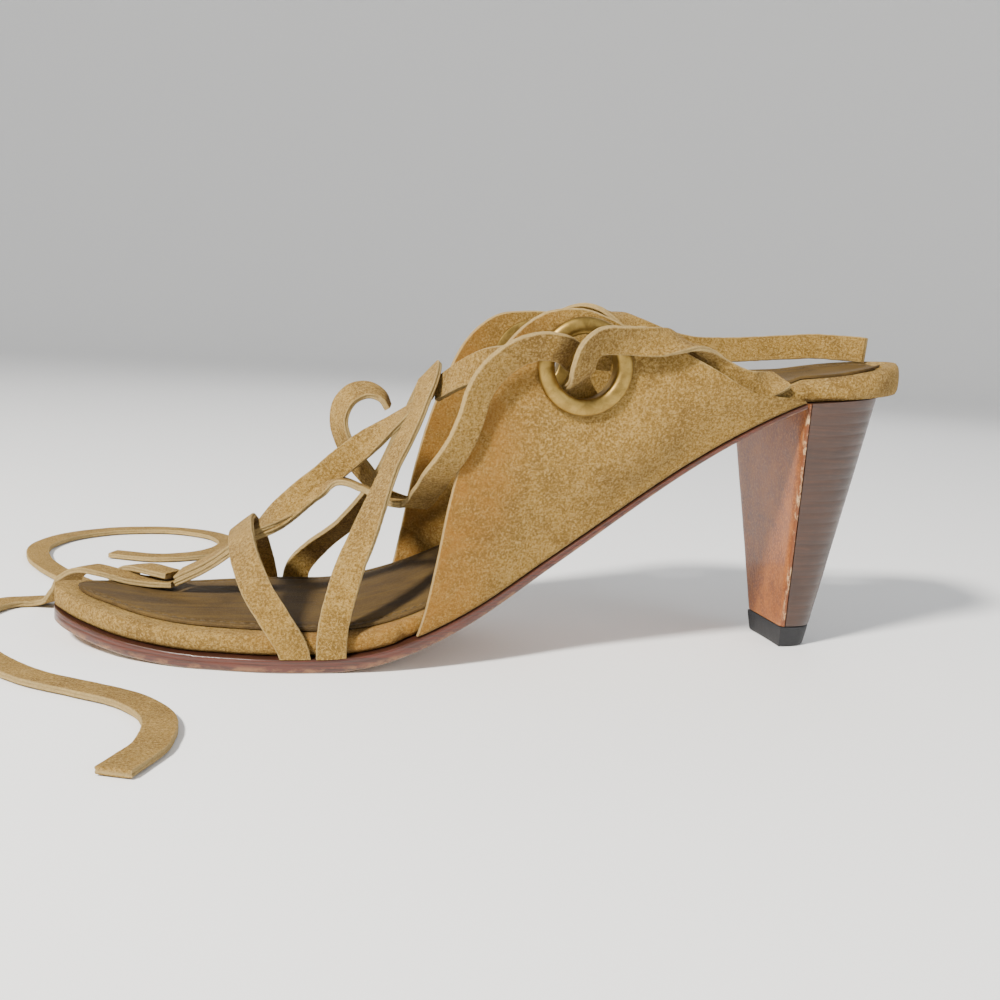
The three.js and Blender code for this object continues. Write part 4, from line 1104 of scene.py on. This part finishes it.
class SANDAL_OT_sole(bpy.types.Operator):
    """Outsole, wrapped footbed, and the sock with its stitching"""

    bl_idname = "sandal.sole"
    bl_label = "Sole"

    def execute(self, context):
        sizes = detail_sizes(context)
        self.outsole()
        self.footbed()
        self.sock(sizes)
        return {"FINISHED"}

    def outsole(self):
        rings, up, below = [], [], []
        for s in stations(260, 0, BREAST - GAP):
            w, c, low, high = half(s), mid(s), under(s), sole_top(s)
            slim = clamp(w / TOE_ROUND)
            thick = high - low
            ring, ups, belows = [], [], []
            for inset, height, share, bottom in OUTSOLE_EDGE:
                wobble = 0.06 * ripple(s, 0, height * 3, 6.0) * (1 - bottom) * slim
                ring.append((s, w - inset * slim + wobble, low + height * thick))
                ups.append(share)
                belows.append(bottom)
            inner = w - 1.2 * slim
            top = [(s, inner * share, high) for share in spaced(8, 1, -1)]
            left = [(s, -y, z) for _, y, z in reversed(ring)]
            bottom = [(s, inner * share, low) for share in spaced(12, -1, 1)]
            whole = [*ring, *top, *left, *bottom]
            rings.append([(s, c + y, z) for _, y, z in whole])
            up += [*ups, *[1.0] * len(top), *reversed(ups), *[0.0] * len(bottom)]
            below += [*belows, *[0.0] * len(top), *reversed(belows), *[1.0] * len(bottom)]
        masks = {"up": up, "under": below}
        make_loft("outsole_leather", rings, "sole_leather", ["outsole"], masks, 50)

    def footbed(self):
        profile = [Vector((out, up, 0)) for out, up in FOOTBED_EDGE]
        edge = [curve_point(profile, t) for t in spaced(14, 0, 1)]
        rings = []
        for s in stations(300, 0, LENGTH):
            c, inner = mid(s), footbed_half(s) - RIM_BAND * slimness(s)
            top = [(s, c + share * inner) for share in spaced(8, 1, -1)]
            on_top = [(s, y, footbed_top(s, y)) for s, y in top]
            far, near = self.wrapped_side(s, 1, edge), self.wrapped_side(s, -1, edge)
            rings.append([*far, *on_top, *reversed(near)])
        places = flattened(rings)
        # A warmer tint over the footbed around the ball.
        warm = [0.8 * smooth(40, 75, s) * (1 - smooth(95, 120, s)) for s, _, _ in places]
        make_loft("footbed_wrap", rings, "suede", ["footbed"], {"warm": warm}, 60)

    def wrapped_side(self, s, side, edge):
        """One side of the footbed, from below up to its shoulder."""
        w, c, slim, low = footbed_half(s), mid(s), slimness(s), sole_top(s) + GAP
        row = []
        for place in edge:
            y = c + side * (w + place.x * slim)
            z = low + clamp(place.y) * footbed_edge(s)
            wobble = ripple(s, y, z, 7.0, 4) + 0.5 * ripple(s, y, z, 2.5, 9)
            y += side * slim * 0.14 * wobble
            row.append((s, y, z))
        return row

    def sock(self, sizes):
        front = OUTSOLE_STEP + SOCK_INSET
        back = LENGTH - SOCK_INSET
        inset = sizes.stitch_inset
        groove = [
            (0.0, -0.45), (0.05, -0.2), (0.35, 0.0), (inset - 0.9, 0.0), (inset - 0.4, -0.22),
            (inset, -0.34), (inset + 0.4, -0.22), (inset + 0.9, 0.02), (inset + 2.5, 0.05),
        ]
        rings, seams = [], []
        for s in [mix(front, back, place / LENGTH) for place in stations(300, 0, LENGTH)]:
            outline = half(LENGTH * (s - front) / (back - front))
            w = outline - (OUTSOLE_STEP + SOCK_INSET) * clamp(outline / (2 * RIM_BAND))
            w = max(w, 0.02)
            slim = clamp(w / (3 * inset))
            c = mid(s)
            right = [(w - off * slim, drop * slim) for off, drop in groove]
            inner = right[-1][0]
            row = [*right, *[(inner * share, 0.05 * slim) for share in spaced(10, 1, -1)[1:-1]]]
            row += [(-y, drop) for y, drop in reversed(right)]
            top = []
            for y, drop in row:
                z = footbed_top(s, c + y) + GAP + SOCK + drop
                z += slim * 0.12 * ripple(s, y, 0, 11.0, 2) * smooth(w, w - 8, abs(y))
                top.append((s, c + y, z))
            low = [(s, c + y, footbed_top(s, c + y) + GAP) for y in spaced(10, -w, w)]
            rings.append([*top, *low])
            seams.append((s, c, w - inset * slim, slim))
        make_loft("sock_lining", rings, "sock_leather", ["insole_sock"], None, 60)
        self.stitches(seams, sizes)

    def stitches(self, seams, sizes):
        """Short rounded stitches that lie in the sock's groove, all the way round."""
        wide = [(s, c, y) for s, c, y, slim in seams if slim > 0.25]
        seam = [*((s, c + y) for s, c, y in wide), *((s, c - y) for s, c, y in reversed(wide))]
        line = [Vector((s, y, footbed_top(s, y) + GAP + SOCK - 0.2)) for s, y in seam]
        reach, next_stitch = 0.0, 0.0
        points, faces = [], []
        for a, b in zip(line, [*line[1:], line[0]]):
            step = (b - a).length
            while next_stitch < reach + step:
                place = a + (b - a) * ((next_stitch - reach) / step)
                along = (b - a).normalized()
                self.stitch(place, along, STITCH_SHARE * sizes.stitch_length, points, faces)
                next_stitch += sizes.stitch_length
            reach += step
        make_piece("sock_stitching", points, faces, "sock_leather", [], finish="thread")

    def stitch(self, place, along, length, points, faces):
        """Adds one stitch, with its two ends sunk into the groove."""
        across = along.cross(Vector((0, 0, 1))).normalized()
        face = across.cross(along)
        rings = []
        for share in spaced(6, -1, 1):
            radius = STITCH_RADIUS * math.sqrt(max(0.06, 1 - share ** 4))
            sunk = -STITCH_SUNK * share * share
            ring = []
            for angle in spaced(8, 0, 2 * math.pi)[:-1]:
                out = across * (math.cos(angle) * radius)
                out += face * (math.sin(angle) * radius + sunk)
                ring.append(tuple(place + along * (share * length / 2) + out))
            rings.append(ring)
        faces += loft_faces(rings, len(points))
        points += flattened(rings)


def heel_plan(height, angle, breast_inset):
    """A point of the heel's plan at a share of its height: s and y."""
    front = mix(BREAST + HEEL_FOOT_SET, BREAST, height)
    back = mix(BREAST + HEEL_FOOT_SET + HEEL_FOOT_DEPTH, LENGTH - HEEL_TOP_BACK, height)
    w = mix(HEEL_FOOT_WIDTH, HEEL_TOP_WIDTH, height) / 2
    s = front + (back - front) * abs(math.sin(angle)) ** HEEL_SQUARENESS
    y = -w * math.copysign(abs(math.cos(angle)) ** HEEL_SQUARENESS, math.cos(angle))
    return max(s, front + breast_inset), y + mid(BREAST) * height


def heel_top(s):
    return sole_top(max(s, BREAST))


def uneven(ring, height, wave, seed):
    """A level ring whose points are moved a little, as by hand work."""
    return [
        (s + height * ripple(s, y, z, wave, seed), y + height * ripple(s, y, z, wave, seed + 1), z)
        for s, y, z in ring
    ]


class SANDAL_OT_heel(bpy.types.Operator):
    """Stacked heel, the leather over its breast, and the rubber top piece"""

    bl_idname = "sandal.heel"
    bl_label = "Heel"

    def execute(self, context):
        self.stack(detail_sizes(context))
        self.cover()
        self.lift()
        return {"FINISHED"}

    def ring(self, low, share, top, inset, grow=0.0):
        """The heel's outline at a share of the way from low to top, grown by a little."""
        z = mix(low, top(BREAST), share)
        outline = []
        for angle in spaced(72, 0, math.pi):
            s, y = heel_plan(z / HEEL_HEIGHT, angle, inset)
            outline.append((s, y, mix(low, top(s), share)))
        first, last = outline[0], outline[-1]
        front = [
            tuple(mix(a, b, t) for a, b in zip(last, first)) for t in spaced(10, 0, 1)[1:-1]
        ]
        whole = [*outline, *front]
        middle = [sum(p[k] for p in whole) / len(whole) for k in range(2)]
        grown = []
        for s, y, height in whole:
            away = Vector((s - middle[0], y - middle[1]))
            away = away * (1 + grow / away.length)
            grown.append((middle[0] + away.x, middle[1] + away.y, height))
        return grown

    def stack(self, sizes):
        low = TOP_PIECE + GAP
        height = heel_top(BREAST) - low
        layers = max(2, round(height / sizes.heel_layer))
        inset = BREAST_COVER + GAP
        rings = []
        for layer in range(layers):
            for share, grow in ((0.0, -0.07), (0.07, 0.0), (0.5, 0.02), (0.93, 0.0)):
                rings.append(self.ring(low, (layer + share) / layers, heel_top, inset, grow))
        rings.append(self.ring(low, 1.0, heel_top, inset, -0.05))
        rings = [uneven(ring, 0.1, 12.0, 30) for ring in rings]
        make_loft("heel_stack", rings, "stacked_leather", ["heel"], None, 50)

    def cover(self):
        """Thin leather, rounded over at its two long edges."""
        low = TOP_PIECE + GAP
        rings, edges = [], []
        for share in spaced(90, 0, 1):
            z = mix(low, heel_top(BREAST), share)
            near_s, near_y = heel_plan(z / HEEL_HEIGHT, 0, 0)
            _, far_y = heel_plan(z / HEEL_HEIGHT, math.pi, 0)
            width = far_y - near_y
            ring, ring_edges = [], []
            for t in spaced(24, 0, 1):
                rim = 0.5 * width * (1 - abs(2 * t - 1))
                rounded = 0.5 * BREAST_COVER * (1 - smooth(0, 1.1, rim)) ** 2
                swell = 0.05 * ripple(near_s, t * 20, z, 6.0, 12) + 0.05
                y = near_y + width * t
                ring.append((near_s + rounded + swell, y, z))
                ring_edges.append(1 - smooth(0.2, 1.4, rim))
            for t in spaced(24, 1, 0):
                ring.append((near_s + BREAST_COVER, near_y + width * t, z))
                ring_edges.append(1.0 if t in (0, 1) else 0.0)
            rings.append(ring)
            edges += ring_edges
        nodes = ["heel_breast_cover"]
        make_loft("breast_leather", rings, "cover_leather", nodes, {"edge": edges}, 50)

    def lift(self):
        """Rubber whose side is straight and whose edge on the floor is rounded."""
        rings = [
            uneven(self.ring(0, share, lambda s: TOP_PIECE, 0, grow), 0.08, 3.0, 21)
            for share, grow in LIFT_PROFILE
        ]
        make_loft("rubber_lift", rings, "rubber", ["top_piece"], None, 50)


def panel_out(s, z):
    """How far a panel's outer face is from the middle of the shoe."""
    foot = half(s) - PANEL_SEAT
    height = clamp((z - sole_top(s)) / (PANEL_TOP - sole_top(s)))
    swell = PANEL_BULGE * math.sin(math.pi * height)
    free = mix(foot, PANEL_SPREAD / 2, smooth(0, 0.8, height)) + swell
    away = math.hypot(s - EYELET_AT, z - EYELET_HEIGHT)
    return mix(PANEL_SPREAD / 2, free, smooth(0.5 * EYELET_OUTER + 7, 1.5 * EYELET_OUTER, away))


def even_spline(points, t):
    """The uniform spline that the panels' outline was drawn with, its ends clamped."""
    last = len(points) - 1
    place = last * t
    i = min(int(place), last)
    w = place - i
    p0, p1 = points[max(0, i - 1)], points[i]
    p2, p3 = points[min(last, i + 1)], points[min(last, i + 2)]
    v0, v1 = (p2 - p0) * 0.5, (p3 - p1) * 0.5
    cubic = (2 * p1 - 2 * p2 + v0 + v1) * w ** 3
    return cubic + (3 * p2 - 3 * p1) * w * w - (2 * v0 + v1) * w * w + v0 * w + p1


class SANDAL_OT_panels(bpy.types.Operator):
    """The two suede side panels"""

    bl_idname = "sandal.panels"
    bl_label = "Side panels"

    def execute(self, context):
        sizes = detail_sizes(context)
        self.panel("panel_lateral", -1, 1, sizes)
        self.panel("panel_medial", 1, 2, sizes)
        return {"FINISHED"}

    def outline(self, column):
        """Points (s, z) round the panel's side view, about a millimetre apart."""
        rows = [
            Vector((mix(PANEL_FRONT, BREAST, row[0]), row[column] * PANEL_TOP))
            for row in PANEL_EDGE
        ]
        rim = [even_spline(rows, t) for t in spaced(900, 0, 1)]
        rim = [p for p in rim if p.y > sole_top(p.x) + GAP + 0.05]
        start, end = rim[0], rim[-1]
        foot = [Vector((s, sole_top(s) + GAP)) for s in spaced(400, end.x, start.x)]
        whole = [*rim, *foot]
        spaced_out = [whole[0]]
        for place in whole[1:]:
            if (place - spaced_out[-1]).length > 0.8:
                spaced_out.append(place)
        return spaced_out

    def wall_point(self, place, depth, side):
        """A point of the wall at a depth from its outer face, over a place of the side view."""
        s, z = place
        free = smooth(0, 9, (place - EYELET_CENTRE).length - 15)
        wave = 0.3 * free * smooth(0, 8, z - sole_top(s) - 1)
        out = panel_out(s, z)
        out += wave * (ripple(s, side * 40, z, 22.0, 5) + 0.4 * ripple(s, side * 40, z, 9.0, 6))
        return s, mid(s) + side * (out - depth * PANEL_WALL), z

    def tinted(self, place, side):
        """How far a place belongs to the strip along the front that is tinted warmer."""
        s, z = place
        lean = PANEL_FRONT + 0.22 * (z - 10)
        return 1 - smooth(3, 24, s - lean + 4 * ripple(s, side * 9, z, 14.0, 3))

    def panel(self, node, side, column, sizes):
        """Spokes from the eyelet's bore to the cut edge, round it, and back on the inside."""
        bore = EYELET_BARREL / 2 + GAP
        round_off = sizes.edge_round
        # share of the wall from its outer face, and how far in from the cut edge
        cut = [
            (0.0, round_off), (0.05, 0.45 * round_off), (0.17, 0.1 * round_off), (0.3, 0.0),
            (0.42, 0.03), (0.5, 0.16), (0.58, 0.03), (0.7, 0.0), (0.83, 0.1 * round_off),
            (0.95, 0.45 * round_off), (1.0, round_off),
        ]
        reaches = [0.0, 0.02, 0.05, 0.09, 0.14, *spaced(34, 0.19, 0.965), 0.985]
        rings, edges, warm = [], [], []
        for rim in self.outline(column):
            direction = (rim - EYELET_CENTRE).normalized()
            start = EYELET_CENTRE + direction * bore
            run = (rim - start).length - round_off
            face = [start + direction * (reach * run) for reach in reaches]
            spoke = [(place, 0.0, 0.0) for place in face]
            for depth, inset in cut:
                fray = 0.1 * ripple(rim.x, depth * 3, rim.y, 2.0, 8) * (1 - inset / round_off)
                edge = 1.0 if 0 < depth < 1 else 0.6
                spoke.append((rim - direction * (inset - fray), depth, edge))
            spoke += [(place, 1.0, 0.0) for place in reversed(face)]
            rings.append([self.wall_point(place, depth, side) for place, depth, _ in spoke])
            edges += [edge for _, _, edge in spoke]
            warm += [self.tinted(place, side) for place, _, _ in spoke]
        masks = {"edge": edges, "warm": warm}
        make_loft(f"{node}_suede", rings, "suede", [node], masks, 60, True)


class SANDAL_OT_eyelets(bpy.types.Operator):
    """The two brass eyelets"""

    bl_idname = "sandal.eyelets"
    bl_label = "Eyelets"

    def execute(self, context):
        self.eyelet("eyelet_lateral", -1)
        self.eyelet("eyelet_medial", 1)
        return {"FINISHED"}

    def eyelet(self, node, side):
        hole, barrel, outer = EYELET_HOLE / 2, EYELET_BARREL / 2, EYELET_OUTER / 2
        face = PANEL_WALL / 2 + GAP
        ring, middle = (outer - hole) / 2, (outer + hole) / 2
        back = -face - WASHER
        profile = [(barrel, face), (outer - 0.4, face)]
        for a in spaced(28, 0, math.pi):
            crown = face + 0.35 + (EYELET_DOME - 0.35) * math.sin(a) ** 0.8
            profile.append((middle + ring * math.cos(a), crown))
        profile += [
            (hole, -face - 0.2), (hole + 0.02, back + 0.3), (hole + 0.12, back + 0.1),
            (hole + 0.4, back), (outer - 1.2, back), (outer - 0.85, back + 0.12),
            (outer - 0.7, -face - 0.3), (outer - 0.9, -face), (barrel, -face),
        ]
        centre_y = mid(EYELET_AT) + side * (PANEL_SPREAD / 2 - PANEL_WALL / 2)
        rings = []
        for angle in spaced(EYELET_SEGMENTS, 0, 2 * math.pi)[:-1]:
            across, up = math.cos(angle), math.sin(angle)
            turned = []
            for radius, height in profile:
                radius *= 1 + 0.0015 * ripple(across * 12, up * 12, height, 5.0, 14)
                place = (EYELET_AT + radius * across, centre_y + side * height)
                turned.append((*place, EYELET_HEIGHT + radius * up))
            rings.append(turned)
        make_loft(f"{node}_ring", rings, "brass", [node], None, 50, True)


class SANDAL_PT_sidebar(bpy.types.Panel):
    """Lists the pieces, the sizes, the colours and the stage"""

    bl_idname = "SANDAL_PT_sidebar"
    bl_label = "Strappy heeled sandal"
    bl_space_type = "VIEW_3D"
    bl_region_type = "UI"
    bl_category = "Sandal"

    def draw(self, context):
        for operator in OPERATORS:
            self.layout.operator(operator.bl_idname)
        scene = context.scene
        for group in (scene.sandal_sizes, scene.sandal_tones, scene.sandal_stage):
            box = self.layout.box()
            for name in type(group).__annotations__:
                box.prop(group, name)


OPERATORS = [
    SANDAL_OT_stage, SANDAL_OT_ties, SANDAL_OT_bands, SANDAL_OT_sole, SANDAL_OT_heel,
    SANDAL_OT_panels, SANDAL_OT_eyelets,
]
CLASSES = [SandalSizes, SandalTones, SandalStage, *OPERATORS, SANDAL_PT_sidebar]


def register():
    for one in CLASSES:
        bpy.utils.register_class(one)
    bpy.types.Scene.sandal_sizes = bpy.props.PointerProperty(type=SandalSizes)
    bpy.types.Scene.sandal_tones = bpy.props.PointerProperty(type=SandalTones)
    bpy.types.Scene.sandal_stage = bpy.props.PointerProperty(type=SandalStage)


def unregister():
    for name in ("sandal_sizes", "sandal_tones", "sandal_stage"):
        delattr(bpy.types.Scene, name)
    for one in reversed(CLASSES):
        bpy.utils.unregister_class(one)


def main():
    register()
    for operator in OPERATORS:
        group, name = operator.bl_idname.split(".")
        getattr(getattr(bpy.ops, group), name)()


if __name__ == "__main__":
    main()
